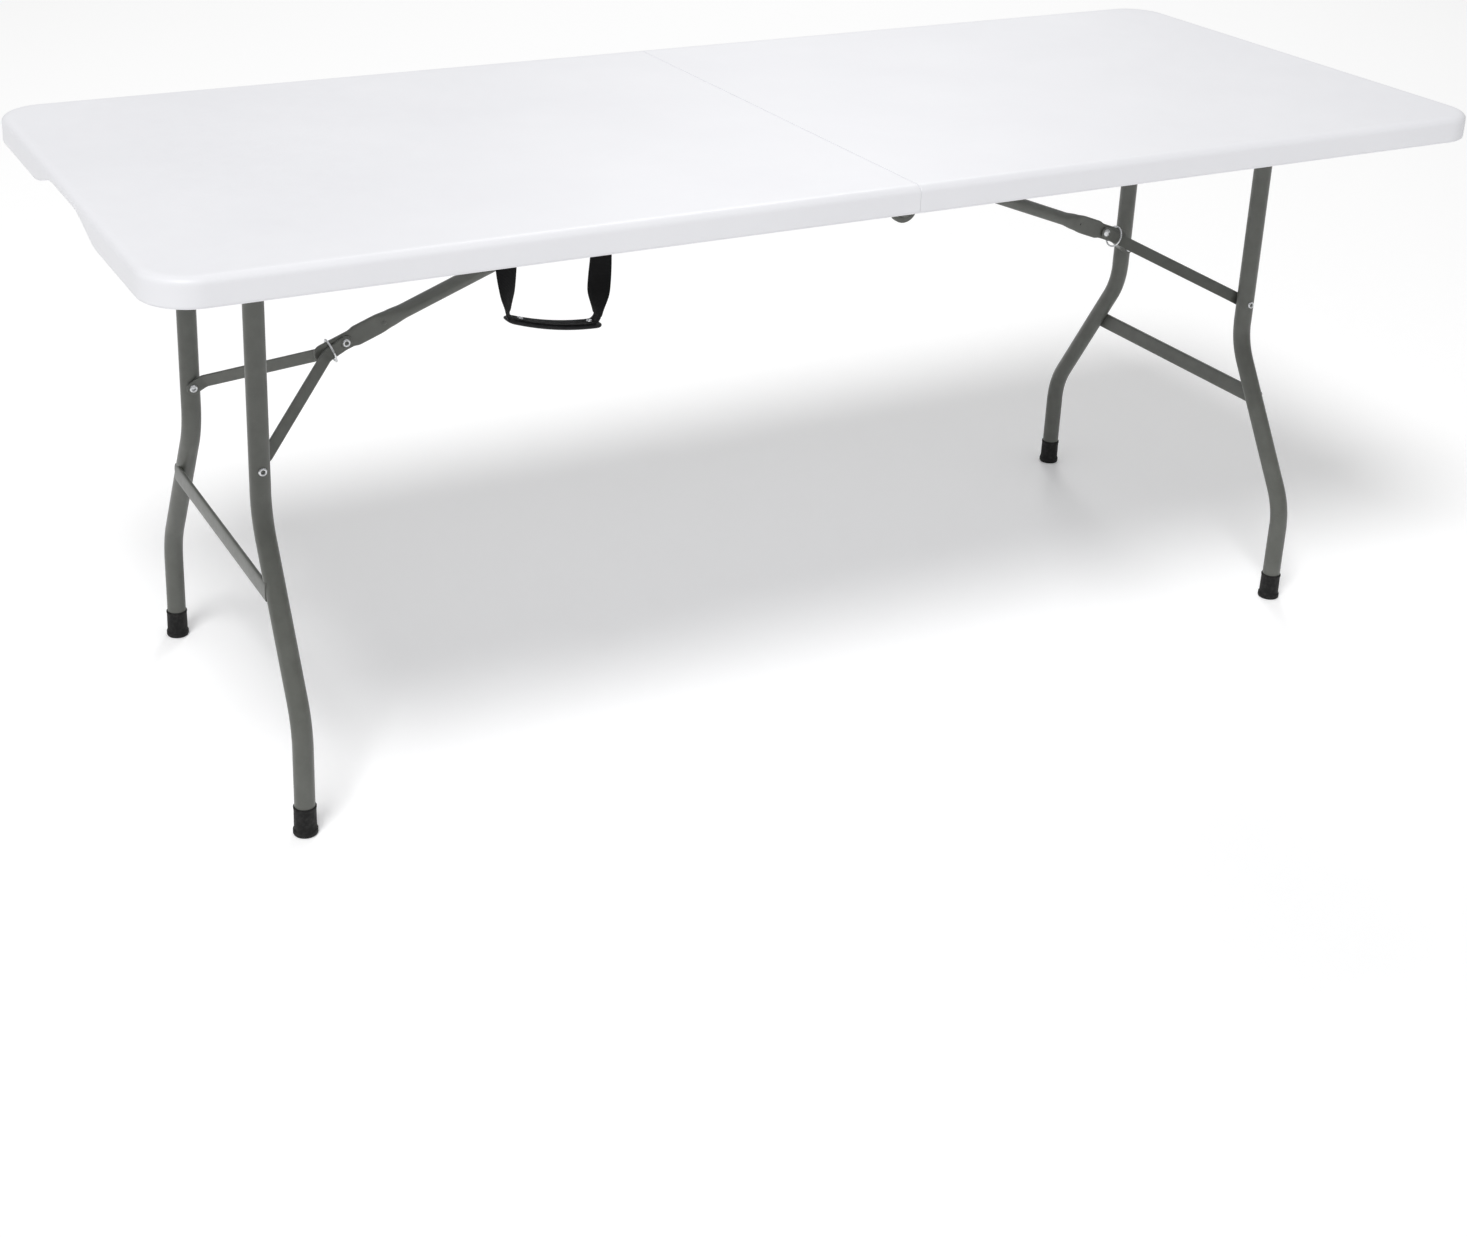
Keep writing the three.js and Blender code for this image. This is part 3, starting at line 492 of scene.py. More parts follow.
def channel_relief(x, y):
    """Room for the folded frame: legs, feet, brace, knee, bars, lock ring and rails."""
    mirrored = np.abs(y)
    ripple = 1.6 * MM * np.abs(np.sin(2 * math.pi * x / PITCH))
    knee, ring_x = KNEE_FOLDED, KNEE_FOLDED + 141.5 * MM
    stretcher_x = LEG_LINE + STRETCHER_DROP
    routes = (
        (mirrored, 14.5 * MM + ripple, 5.6 * MM,
         [(LEG_LINE - 14 * MM, LEG_TOP_Y), (LEG_LINE + UPPER_BEND, LEG_TOP_Y),
          (LEG_LINE + LOWER_BEND, LEG_FOOT_Y), (-20 * MM, LEG_FOOT_Y)]),
        (mirrored, 19 * MM, 8.2 * MM, [(-64 * MM, LEG_FOOT_Y), (-16 * MM, LEG_FOOT_Y)]),
        (y, 14 * MM + ripple, 6.8 * MM, [(knee + TONGUE_TIP + 8 * MM, 0), (-30 * MM, 0)]),
        (y, 20 * MM, 4.6 * MM, [(knee - 6 * MM, 0), (knee + 34 * MM, 0)]),
        (y, 11 * MM, 8.8 * MM, [(knee + 8 * MM, 0), (knee + 74 * MM, 0)]),
        (mirrored, 12 * MM + ripple, 4.4 * MM,
         [(knee + 28 * MM, 0), (BAR_RIVET_X - 24 * MM, 127 * MM), (BAR_RIVET_X + 6 * MM, 127 * MM)]),
        (y, 12 * MM, 9.2 * MM, [(ring_x, -10 * MM), (ring_x, 10 * MM)]),
        (mirrored, 14 * MM, 1.6 * MM, [(stretcher_x, 0), (stretcher_x, 170 * MM)]))
    parts = [channel(route_distance(x, across, route), half, depth)
             for across, half, depth, route in routes]
    parts.append(channel(np.abs(x - LEG_LINE), 13 * MM + ripple, 2.4 * MM))
    beside_rail = np.maximum(np.abs(mirrored + RAIL_LOW.y + 9 * MM) - 9 * MM, 0)
    parts.append(channel(np.maximum(RAIL_LOW.x - x, 0) + beside_rail, 3.2 * MM, 3.2 * MM, 2.5 * MM))
    clip_x = sum(corner.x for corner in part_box("storage_clip_left")) / 2
    pockets = [(clip_x, LEG_FOOT_Y, 11 * MM, 17 * MM, 8.2 * MM)]
    pockets += [(strap, HANDLE_Y, 18 * MM, 15 * MM, 5.2 * MM) for strap in STRAPS]
    for centre_x, centre_y, half_x, half_y, depth in pockets:
        outside = np.maximum(np.abs(x - centre_x) - half_x, np.abs(y - centre_y) - half_y)
        parts.append(channel(np.maximum(outside, 0), 2.4 * MM, depth, 2.2 * MM))
    return np.max(parts, axis=0)


def boss_relief(x, y):
    """Round boss with a sunken eye at each pivot clip: (relief, where slots may show)."""
    place = abs(sum(c.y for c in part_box("pivot_clip_left_b"))) / 2
    radius = np.hypot(x - LEG_LINE, np.abs(y) - place)
    boss_r, wall = 53 * MM, 3 * MM
    raised = smooth((boss_r - radius) / wall) * 1.1 * MM
    eye = smooth((24 * MM - radius) / wall) * 5 * MM
    return eye - raised, smooth((radius - boss_r) / wall) + smooth((20 * MM - radius) / wall)


def round_inset(x, y, start, side, radius):
    """Distance inside a plan outline with round outer corners, open at the seam."""
    qx, qy = start + radius - x, np.abs(y) - (side - radius)
    round_part = radius - np.hypot(np.maximum(qx, 0), np.maximum(qy, 0))
    return np.where((qx > 0) & (qy > 0), round_part, np.minimum(x - start, side - np.abs(y)))


def outline_inset(x, y):
    return np.maximum(round_inset(x, y, END_X, SIDE_Y, CORNER), 0)


def cavity_inset(x, y):
    """How far a point lies inside the rim's wavy inner wall."""
    start, side = END_X + END_RIM, SIDE_Y - SIDE_RIM
    side_wave = 1.3 * MM * (1 + np.tanh(2.5 * np.cos(2 * math.pi * x / PITCH)))
    end_wave = 1.7 * MM * (1 + np.tanh(3 * np.cos(math.pi * y / PITCH)))
    end_wave = end_wave * (np.abs(y) < SIDE_Y - 1.2 * CORNER)
    beside_end = (x - start) < (side - np.abs(y))
    return round_inset(x, y, start, side, CORNER - END_RIM) + np.where(beside_end, end_wave, side_wave)


def hand_hold(y):
    """Rise of the lip over the scallop that a hand fits under."""
    return 21 * MM * smooth((152 * MM - np.abs(y)) / (104 * MM))


def underside(x, y, inset):
    """Height of the underside: rim, wavy wall, floor, slots, channels and bosses."""
    boss, clear = boss_relief(x, y)
    slots = slot_relief(x, y) * np.clip(clear, 0, 1) * (x < SEAM_X - 76 * MM)
    slots = slots * smooth((RAIL_LOW.y * -1 - 22 * MM - np.abs(y)) / (4 * MM) + (x < RAIL_LOW.x))
    drops = teardrop_relief(x, y) * (np.abs(y) < 240 * MM)
    relief = np.maximum.reduce([slots, drops, channel_relief(x, y)])
    relief = relief * smooth((SEAM_X - 6 * MM - x) / (5 * MM))
    floor = FLOOR_Z + np.where(relief > 0.2 * MM, relief, boss)
    floor = np.minimum(floor, TOP_Z - 1.6 * MM)
    lip = LIP_Z + hand_hold(y) * (x < END_X + 2 * END_RIM)
    lip_round = 3 * MM
    edge = np.clip(lip_round - inset, 0, lip_round)
    lip = lip + lip_round - np.sqrt(np.maximum(lip_round ** 2 - edge ** 2, 0))
    return lip + (floor - lip) * smooth(cavity_inset(x, y) / (4.2 * MM))


# ---- moulded top: mesh
def grid_lines(start, stop, insets_start, insets_stop, step):
    """Places of the grid's lines: at insets in mm from both ends, then a step apart."""
    low = [start + i * MM for i in insets_start]
    high = [stop - i * MM for i in insets_stop]
    count = max(int(round((high[-1] - low[-1]) / step)), 1)
    middle = np.linspace(low[-1], high[-1], count + 1)[1:-1]
    return np.array(low + list(middle) + high[::-1])


def round_corners(x, y):
    """Moves grid points of the two outer corner squares onto concentric quarter discs."""
    centre_x, centre_y = END_X + CORNER, SIDE_Y - CORNER
    a, b = (centre_x - x) / CORNER, (np.abs(y) - centre_y) / CORNER
    corner = (a > 1e-9) & (b > 1e-9)
    a_safe, b_safe = np.where(corner, a, 1), np.where(corner, b, 1)
    flat = a_safe >= b_safe
    angle = np.where(flat, b_safe / a_safe, 2 - a_safe / b_safe) * math.pi / 4
    reach = np.maximum(a_safe, b_safe) * CORNER
    new_x = np.where(corner, centre_x - reach * np.cos(angle), x)
    new_y = np.where(corner, np.sign(y) * (centre_y + reach * np.sin(angle)), y)
    return new_x, new_y


def top_height(x, y):
    """Upper surface: flat, with a soft outer edge and a tight one at the seam."""
    soft, drop, tight = 11 * MM, 8 * MM, 1.3 * MM
    edge = np.clip(1 - outline_inset(x, y) / soft, 0, 1)
    seam = np.clip(1 - (SEAM_X - x) / tight, 0, 1)
    return (TOP_Z - drop * (1 - np.sqrt(1 - edge ** 2)) - tight * (1 - np.sqrt(1 - seam ** 2)))


def border_loop(rows, columns):
    """Indices of the border of a rows x columns grid, in order round it."""
    index = np.arange(rows * columns).reshape(rows, columns)
    return list(np.concatenate([index[0, :-1], index[:-1, -1], index[-1, :0:-1], index[:0:-1, 0]]))


def make_top(label, turn):
    """One half: the underside as a grid, then rings up the side and over the edge."""
    fine = [0, 0.5, 1.4, 3, 5, 8, 11, 15, 18.5]
    end_wall = [19.5, 20.5, 21.5, 22.5, 23.5, 25, 27]
    side_wall = [21, 22.5, 23.5, 24.5, 25.5, 26.5, 27.5, 28.5, 29.5, 31]
    seam = [0, 0.3, 0.8, 1.5, 3]
    xs = grid_lines(END_X, SEAM_X, fine + end_wall, seam, 3 * MM)
    ys = grid_lines(-SIDE_Y, SIDE_Y, fine + side_wall, fine + side_wall, 3 * MM)
    x, y = (g.ravel() for g in np.meshgrid(xs, ys, indexing="ij"))
    x, y = round_corners(x, y)
    z = underside(x, y, outline_inset(x, y))
    points, columns = [np.stack([x, y, z], 1)], len(ys)
    i, j = (g.ravel() for g in np.indices((len(xs) - 1, columns - 1)))
    base = i * columns + j
    faces = np.stack([base, base + columns, base + columns + 1, base + 1], 1).tolist()
    loop = border_loop(len(xs), columns)
    previous, total = loop, len(x)
    bx, by, bz = x[loop], y[loop], z[loop]
    centre_x, centre_y = END_X + CORNER, SIDE_Y - CORNER
    in_x = np.where(bx < centre_x, centre_x - bx, 0)
    in_y = np.where(np.abs(by) > centre_y, np.sign(by) * (centre_y - np.abs(by)), 0)
    rounded = (bx < centre_x) & (np.abs(by) > centre_y)
    on_side = np.abs(by) > SIDE_Y - 1e-7
    in_x = np.where(rounded, in_x, np.where(on_side, 0, np.where(bx > SEAM_X - 1e-7, -1, 1)))
    in_y = np.where(rounded, in_y, np.where(on_side, -np.sign(by), 0))
    size = np.hypot(in_x, in_y)
    in_x, in_y = in_x / size, in_y / size
    edge_z = top_height(bx, by)
    gap = np.minimum(1.2 * MM, 0.3 * (edge_z - bz))
    rings = [(bx, by, bz + gap), (bx, by, edge_z - gap)]
    for inset in (0, 0.25, 0.8, 1.4, 2.2, 3.4, 5, 7, 9, 11, 15):
        rx = np.clip(bx + in_x * inset * MM, END_X, SEAM_X - inset * MM)
        ry = np.clip(by + in_y * inset * MM, -SIDE_Y + inset * MM, SIDE_Y - inset * MM)
        rings.append((rx, ry, top_height(rx, ry)))
    for ring in rings:
        points.append(np.stack(ring, 1))
        current = list(range(total, total + len(loop)))
        total += len(loop)
        faces += zip(previous, previous[1:] + previous[:1], current[1:] + current[:1], current)
        previous = current
    faces.append(tuple(previous))
    obj = make_object(f"moulded_top_{label}", np.concatenate(points), faces, 60)
    outward(obj)
    obj.data.shade_smooth()
    finish_piece(obj, turn, f"half_{label}", WHITE, f"top_{label}")


# ---- legs
def leg_points(side):
    """Centre line of one leg of the left half, from the pivot down to the foot."""
    x, top = PIVOT.x, PIVOT.z
    corners = [Vector((x, side * LEG_TOP_Y, top)), Vector((x, side * LEG_TOP_Y, top - UPPER_BEND)),
               Vector((x, side * LEG_FOOT_Y, top - LOWER_BEND)), Vector((x, side * LEG_FOOT_Y, LEG_LOW.z))]
    return with_tangents(rounded_path(corners, BEND_R, 14))


def make_leg(label, turn, where, side):
    """Bent tube, pressed flat at the pivot."""
    pairs = leg_points(side)
    pivot, down = pairs[0]
    stations = [(pivot + down * drop * MM, down, oval(LEG_R * narrow, LEG_R))
                for drop, narrow in ((0, 0.70), (3, 0.76), (6, 0.86), (9, 0.96), (12, 1), (20, 1))]
    for k, (point, tangent) in enumerate(pairs[1:], 1):
        bent = abs(tangent.y) > 0.02 and abs(tangent.z) > 0.7
        squeeze = 0.965 if bent and k not in (1, len(pairs) - 1) else 1.0
        stations.append((point, tangent, oval(LEG_R, LEG_R * squeeze)))
    obj = sweep(f"leg_tube_{label}_{where}", stations, AXIS_X)
    finish_piece(obj, turn, f"legs_{label}", GREY, f"leg_{label}_{where}")


def round_bar(name, a, b, radius, bevel=0.6 * MM, count=40):
    """Straight round bar with eased ends."""
    axis = b - a
    length = axis.length
    profile = [(0, 0), (radius - bevel, 0), (radius, bevel), (radius, length - bevel),
               (radius - bevel, length), (0, length)]
    return lathe(name, profile, a, axis, count)


def bar_along_y(name, low, high, bevel=0.6 * MM, count=40):
    """Round bar that fills a box from front to back: (bar, front end, back end)."""
    front, back = (Vector(((low.x + high.x) / 2, y, (low.z + high.z) / 2)) for y in (low.y, high.y))
    return round_bar(name, front, back, (high.x - low.x) / 2, bevel, count), front, back


def ring_of(name, centre, axis, side, radius, wires, sides):
    """Closed ring round an axis: wires gives the wire's radius at each step."""
    other, steps, points = axis.cross(side), len(wires), []
    for i, wire in enumerate(wires):
        angle = 2 * math.pi * i / steps
        out = side * math.cos(angle) + other * math.sin(angle)
        for j in range(sides):
            turn = 2 * math.pi * j / sides
            points.append(centre + out * (radius + wire * math.cos(turn)) + axis * wire * math.sin(turn))
    return outward(make_object(name, points, torus_faces(steps, sides), 60))


def weld_bead(centre, radius, thick, seed):
    """Lumpy ring of weld round a tube end, square to Y."""
    rng = np.random.default_rng(seed)
    wires = [thick * (0.85 + 0.3 * rng.random()) for _ in range(48)]
    return ring_of("bead", centre, AXIS_Y, AXIS_Y.orthogonal().normalized(), radius, wires, 8)


def make_cross_tube(label, turn):
    low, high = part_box("cross_tube_left")
    parts = [bar_along_y("bar", low, high)[0]]
    for _, side in SIDES:
        at = Vector((PIVOT.x, side * LEG_TOP_Y, PIVOT.z - 2 * MM))
        for end in (-1, 1):
            parts.append(weld_bead(at + Vector((0, end * LEG_R * 0.93, 0)),
                                   (high.x - low.x) / 2 - 0.4 * MM, 1.5 * MM, 7 + side + 3 * end))
    obj = joined(f"cross_bar_{label}", parts)
    finish_piece(obj, turn, f"legs_{label}", GREY, f"cross_tube_{label}")


def make_stretcher(label, turn):
    low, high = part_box("stretcher_left")
    centre = (low + high) / 2
    thick, tall = (high.x - low.x) / 2 - STRETCHER_SHIFT, (high.z - low.z) / 2
    stations = []
    for t in [-1, -0.99] + [i / 20 - 0.95 for i in range(39)] + [0.99, 1]:
        grow = 1 if abs(t) < 1 else 0.95
        stations.append((Vector((centre.x + STRETCHER_SHIFT, t * high.y, centre.z)), AXIS_Y,
                         oval(tall * grow, thick * grow, 3.2, 48)))
    obj = sweep(f"stretcher_bar_{label}", stations, AXIS_Z)
    finish_piece(obj, turn, f"legs_{label}", GREY, f"stretcher_{label}")


def rivet_profile(radius, height):
    """Tubular rivet head: rolled rim round a small eye."""
    rim = ((1, 0.25), (0.95, 0.62), (0.84, 0.92), (0.7, 1), (0.57, 0.9), (0.49, 0.6))
    return [(0, -1.5 * MM), (radius * 0.9, -1.5 * MM), (radius, 0),
            *((radius * r, height * h) for r, h in rim), (radius * 0.46, -MM), (0, -MM)]


def dome_profile(radius, height):
    """Low domed rivet head."""
    turns = [math.radians(a) for a in (0, 12, 26, 42, 60, 78)]
    edge = [(radius * math.cos(a), 0.3 * MM + height * math.sin(a)) for a in turns]
    return [(0, -1.5 * MM), (radius, -1.5 * MM), *edge, (0, 0.3 * MM + height)]


def rivet_head(name, point, axis, radius=5.2 * MM, height=2.2 * MM):
    return lathe(name, rivet_profile(radius, height), point, axis, 28, 50)


def make_leg_rivet(label, turn, where, side):
    z = PIVOT.z - LEG_RIVET_DROP
    outer = Vector((PIVOT.x, side * (LEG_TOP_Y + LEG_R - 0.3 * MM), z))
    inner = Vector((PIVOT.x, side * (LEG_TOP_Y - LEG_R + 0.6 * MM), z))
    stem = round_bar("stem", inner, outer, RIVET_STEM)
    head = rivet_head("head", outer, (0, side, 0))
    obj = joined(f"leg_pin_{label}_{where}", [stem, head], 50)
    finish_piece(obj, turn, f"legs_{label}", ZINC, f"leg_rivet_{label}_{where}")


def make_foot(label, turn, where, side):
    low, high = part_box(f"foot_cap_left_{where}")
    centre = (low + high) / 2
    outer, tall, bore = (high.x - low.x) / 2, high.z - low.z, LEG_R + 0.15 * MM
    wall = in_mm((2.4, 0), (0.8, 0.5), (0, 2), (0, 6.4), (0.5, 7.6), (1.2, 8.4), (1.3, 10))
    lip = in_mm((1.5, 4), (1.0, 3), (1.0, 1.2), (1.8, 0))
    profile = [(0, 0), *((outer - r, z) for r, z in wall), *((outer - r, tall - z) for r, z in lip),
               (bore, tall), (bore, tall - 12 * MM), (0, tall - 12 * MM)]
    obj = lathe(f"foot_{label}_{where}", profile, (centre.x, side * LEG_FOOT_Y, low.z), (0, 0, 1), 48)
    finish_piece(obj, turn, f"legs_{label}", FOOT, f"foot_cap_{label}_{where}")


# ---- centre brace and bars
BRACE_LENGTH = math.hypot(KNEE.x - FOLD.x, KNEE.z - FOLD.z)
BRACE_TILT = math.asin(BRACE_RISE / BRACE_LENGTH)
BRACE_FALL = math.atan2(FOLD.z - KNEE.z, FOLD.x - KNEE.x) + BRACE_TILT
BRACE_END = math.sqrt(BRACE_LENGTH ** 2 - BRACE_RISE ** 2)


def brace_frame():
    """Knee rivet at the origin, +X along the tube towards the fold axis."""
    return Matrix.Translation(KNEE) @ Matrix.Rotation(-BRACE_FALL, 4, "Y")


def loft_keys(keys, step=2.5 * MM):
    """Blends (x, y, z, half_y, half_z, power) keys into dense stations along X."""
    stations = []
    for a, b in zip(keys, keys[1:]):
        count = max(int((b[0] - a[0]) / step), 1) if a[1:] != b[1:] else 1
        for i in range(count):
            t = i / count
            s = t * t * (3 - 2 * t)
            rest = [p + (q - p) * s for p, q in zip(a[1:], b[1:])]
            stations.append([a[0] + (b[0] - a[0]) * t] + rest)
    stations.append(list(keys[-1]))
    return [(Vector((x, y, z)), AXIS_X, oval(half_y, half_z, power, 48))
            for x, y, z, half_y, half_z, power in stations]


def tongue_outline():
    """Round tip of the tongue: (place along the brace, share of the full height)."""
    for angle in (2, 12, 24, 38, 54, 72, 90):
        turned = math.radians(angle)
        yield TONGUE_TIP + TONGUE_HALF * (1 - math.cos(turned)), math.sin(turned)


def make_brace(label, turn):
    """Tube with its flattened stretch, tongue, collar and the dimple's bump, then a black disc of painted shade on
    the far side at the dimple's place, standing for a dark hole.
    """
    mm, end, r = MM, BRACE_END, BRACE_R
    eye_y, flat = -6.5 * mm, 2.5 * mm
    keys = [(x, 0, 0, flat - 0.7 * mm * (tall < 0.4), tall * TONGUE_HALF, 6)
            for x, tall in tongue_outline()]
    keys += [(7 * mm, 0, 0, flat, TONGUE_HALF, 6), (17 * mm, 0, 0, flat, FLAT_HALF, 6),
             (44 * mm, 0, 0, 2.8 * mm, FLAT_HALF, 5), (62 * mm, 0, 0, 5.6 * mm, 11.6 * mm, 2.6),
             (84 * mm, 0, 0, r, r, 2), (end - 96 * mm, 0, 0, r, r, 2),
             (end - 62 * mm, eye_y * 0.3, -3 * mm, r, r * 0.7, 2.6),
             (end - 36 * mm, eye_y, -10.5 * mm, 8 * mm, 4 * mm, 3.5),
             (end - 6 * mm, eye_y, -BRACE_RISE + 11.6 * mm, 6.1 * mm, 1.6 * mm, 4)]
    tube = sweep("tube", loft_keys(keys), AXIS_Y, 50)
    outer, inner, half = 13.4 * mm, 10.3 * mm, 6.1 * mm
    profile = [(inner, -half), (outer - 0.5 * mm, -half), (outer, -half + 0.5 * mm),
               (outer, half - 0.5 * mm), (outer - 0.5 * mm, half), (inner, half), (inner, -half)]
    collar = lathe("collar", profile, (end, eye_y, -BRACE_RISE), (0, 1, 0), 40)
    bump = in_mm((0, -2), (3.6, -2), (3.4, 0.4), (2.4, 1.5), (1, 2), (0, 2.1))
    dimple = lathe("dimple", bump, Vector((DIMPLE_AT, -3.9 * mm, 0)), (0, -1, 0), 24, 60)
    obj = joined(f"brace_tube_{label}", [tube, collar, dimple], 50)
    obj.data.transform(brace_frame())
    finish_piece(obj, turn, f"brace_{label}", GREY, f"brace_{label}")
    # Black disc: painted shade standing for the shaded inside of a small hole in the tube.
    hole_shade_profile = in_mm((0, -1), (2.6, -1), (2.6, 0.1), (0, 0.15))
    hole_shade_disc = lathe(f"brace_painted_hole_shade_{label}", hole_shade_profile, Vector((DIMPLE_AT, 4.0 * mm, 0)), (0, 1, 0), 24)
    hole_shade_disc.data.transform(brace_frame())
    finish_piece(hole_shade_disc, turn, f"brace_{label}", BLACK)


def dense(points, step):
    """Adds points so that no stretch is longer than step."""
    out = [points[0]]
    for a, b in zip(points, points[1:]):
        count = max(int(math.ceil((b - a).length / step)), 1)
        out += [a.lerp(b, (i + 1) / count) for i in range(count)]
    return out


def bar_frame():
    """Knee rivet at the origin, -X along the bar towards the leg rivet."""
    rivet = Vector((PIVOT.x, 0, PIVOT.z - LEG_RIVET_DROP))
    fall = math.atan2(KNEE.z - rivet.z, KNEE.x - rivet.x)
    return Matrix.Translation(KNEE) @ Matrix.Rotation(-fall, 4, "Y"), (KNEE - rivet).length


def make_bar(label, turn, where, side):
    """Flat bar on edge with round ends and a pressed boss at the knee."""
    frame_matrix, length = bar_frame()
    round_end = BAR_TALL / 2
    corners = [Vector((x, side * y, 0)) for x, y in
               ((round_end, BAR_NEAR), (-28 * MM, BAR_NEAR),
                (-length + 16 * MM, BAR_FAR), (-length - round_end, BAR_FAR))]
    route = rounded_path(corners, 9 * MM, 8)
    tip = [route[0].lerp(route[1], t) for t in (0.04, 0.1, 0.18, 0.28)]
    stations = []
    for point, tangent in with_tangents(dense([route[0]] + tip + route[1:], 3 * MM)):
        past = max(point.x, -length - point.x, 0.0)
        half = math.sqrt(max(round_end ** 2 - past ** 2, (0.8 * MM) ** 2))
        stations.append((point, tangent, oval(half, BAR_THICK / 2, 9, 32)))
    bar = sweep("bar", stations, AXIS_Z, 50)
    outer = Vector((0, side * (BAR_NEAR + BAR_THICK / 2 - 0.1 * MM), 0))
    pressed = in_mm((0, -1), (7.4, -1), (7.4, 0.1), (6.9, 0.55), (6.2, 0.7), (0, 0.7))
    boss = lathe("boss", pressed, outer, (0, side, 0), 36, 60)
    obj = joined(f"flat_bar_{label}_{where}", [bar, boss], 50)
    obj.data.transform(frame_matrix)
    finish_piece(obj, turn, f"bars_{label}", GREY, f"brace_bar_{label}_{where}")


def make_bar_rivet(label, turn, where, side):
    frame_matrix, length = bar_frame()
    inner = Vector((-length, side * (BAR_FAR - BAR_THICK / 2), 0))
    stem = round_bar("stem", inner + Vector((0, side * (BAR_THICK - 0.2 * MM), 0)), inner, RIVET_STEM)
    head = rivet_head("head", inner, (0, -side, 0))
    obj = joined(f"bar_pin_{label}_{where}", [stem, head], 50)
    obj.data.transform(frame_matrix)
    finish_piece(obj, turn, f"bars_{label}", ZINC, f"bar_rivet_{label}_{where}")


def make_knee_rivet(label, turn):
    front, back = (KNEE + Vector((0, y, 0)) for y in (-5.8 * MM, 5.8 * MM))
    stem = round_bar("stem", front, back, RIVET_STEM)
    tail = rivet_head("tail", front, (0, -1, 0))
    dome = lathe("dome", dome_profile(5.6 * MM, 1.6 * MM), back, (0, 1, 0), 32, 50)
    obj = joined(f"knee_pin_{label}", [stem, tail, dome], 50)
    finish_piece(obj, turn, f"bars_{label}", ZINC, f"knee_rivet_{label}")


def make_lock_ring(label, turn):
    low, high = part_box("lock_ring_left")
    centre = (low + high) / 2
    wire = 1.25 * MM
    radius = (high.y - low.y) / 2 - wire
    axis = brace_frame().to_3x3() @ AXIS_X
    obj = ring_of(f"wire_ring_{label}", centre, axis, AXIS_Y, radius, [wire] * 72, 14)
    finish_piece(obj, turn, f"ring_{label}", ZINC, f"lock_ring_{label}")


# ---- carrying handle
def ribbon(name, stations, uv_width, thick):
    """Webbing band. A station is (centre, width direction, face normal, width)."""
    points, lengths, half_count = [], [0.0], 6
    for (a, *_), (b, *_) in zip(stations, stations[1:]):
        lengths.append(lengths[-1] + (b - a).length)
    places = [-1 + 2 * k / half_count for k in range(half_count + 1)]
    upper = [(t, 1 - 0.45 * t ** 6) for t in places]
    ring = upper + [(t, -high) for t, high in reversed(upper)]
    for centre, across, normal, width in stations:
        points += [centre + across * (a * width / 2) + normal * (b * thick / 2) for a, b in ring]
    count = len(ring)
    obj = make_object(name, points, tube_faces(len(stations), count), 50)
    layer = obj.data.uv_layers.new(name="UVMap")
    for polygon in obj.data.polygons:
        for loop, vertex in zip(polygon.loop_indices, polygon.vertices):
            row, k = divmod(vertex, count)
            k = min(k, count - 1 - k)
            layer.data[loop].uv = (lengths[row], k / half_count * uv_width)
    return obj


def grip_line(x):
    """Height of the grip's centre line and its slope: askew, and bowed down."""
    end_a, end_b = GRIP_SPAN
    t = (2 * x - end_a - end_b) / (end_b - end_a)
    askew = (GRIP_DROPS[1] - GRIP_DROPS[0]) / (STRAPS[1] - STRAPS[0])
    height = FOLD.z - GRIP_DROPS[0] - askew * (x - STRAPS[0]) - GRIP_SAG * (1 - t * t)
    return height, 4 * GRIP_SAG * t / (end_b - end_a) - askew


def band_route():
    """Centre line of the webbing, down, along the grip and up, and one strap's points."""
    top, bend, lift = FOLD.z - 0.4 * MM, 8 * MM, GRIP_TALL / 2 + 0.8 * MM
    route = []
    for x, inward in ((STRAPS[0], 1), (STRAPS[1], -1)):
        foot_x = x + inward * 3 * MM
        end_z = grip_line(foot_x + inward * bend)[0] + lift
        points = []
        for i in range(STRAP_STEPS):
            t = i / (STRAP_STEPS - 1)
            sway = 3 * MM * float(smooth(t))
            points.append(Vector((x + inward * sway, HANDLE_Y, top + (end_z + bend - top) * t)))
        for i in range(1, 8):
            angle = math.pi / 2 * i / 8
            points.append(Vector((foot_x + inward * bend * (1 - math.cos(angle)), HANDLE_Y,
                                  end_z + bend * (1 - math.sin(angle)))))
        route.append(points)
    first, last = route[0][-1].x + 3 * MM, route[1][-1].x - 3 * MM
    places = [first + (last - first) * i / 20 for i in range(21)]
    along = [Vector((x, HANDLE_Y, grip_line(x)[0] + lift)) for x in places]
    return route[0] + along + route[1][::-1], len(route[0])


def make_webbing():
    """One band: it leaves the rail flat, turns a quarter turn, carries the grip and
    turns on to the other strap."""
    route, down = band_route()
    stations = []
    for i, (point, tangent) in enumerate(with_tangents(route)):
        start, stop = min(i / STRAP_STEPS, 1), min((len(route) - 1 - i) / STRAP_STEPS, 1)
        bent = min(max(i - STRAP_STEPS, 0) / (down - STRAP_STEPS), 1)
        turned = math.radians(54 * start ** 1.1 + 36 * bent) + math.pi / 2 * (1 - stop ** 1.6)
        flat = Vector((math.cos(turned), math.sin(turned), 0))
        across = (flat - tangent * flat.dot(tangent)).normalized()
        normal = tangent.cross(across).normalized()
        narrow = float(smooth((min(start, stop) - 0.6) / 0.35))
        stations.append((point, across, normal, BAND_WIDE + (BAND_NECK - BAND_WIDE) * narrow))
    obj = ribbon("handle_band", stations, 25 * MM, 1.6 * MM)
    finish_piece(obj, 0, "handle", BAND, "handle_strap_a", "handle_strap_b")


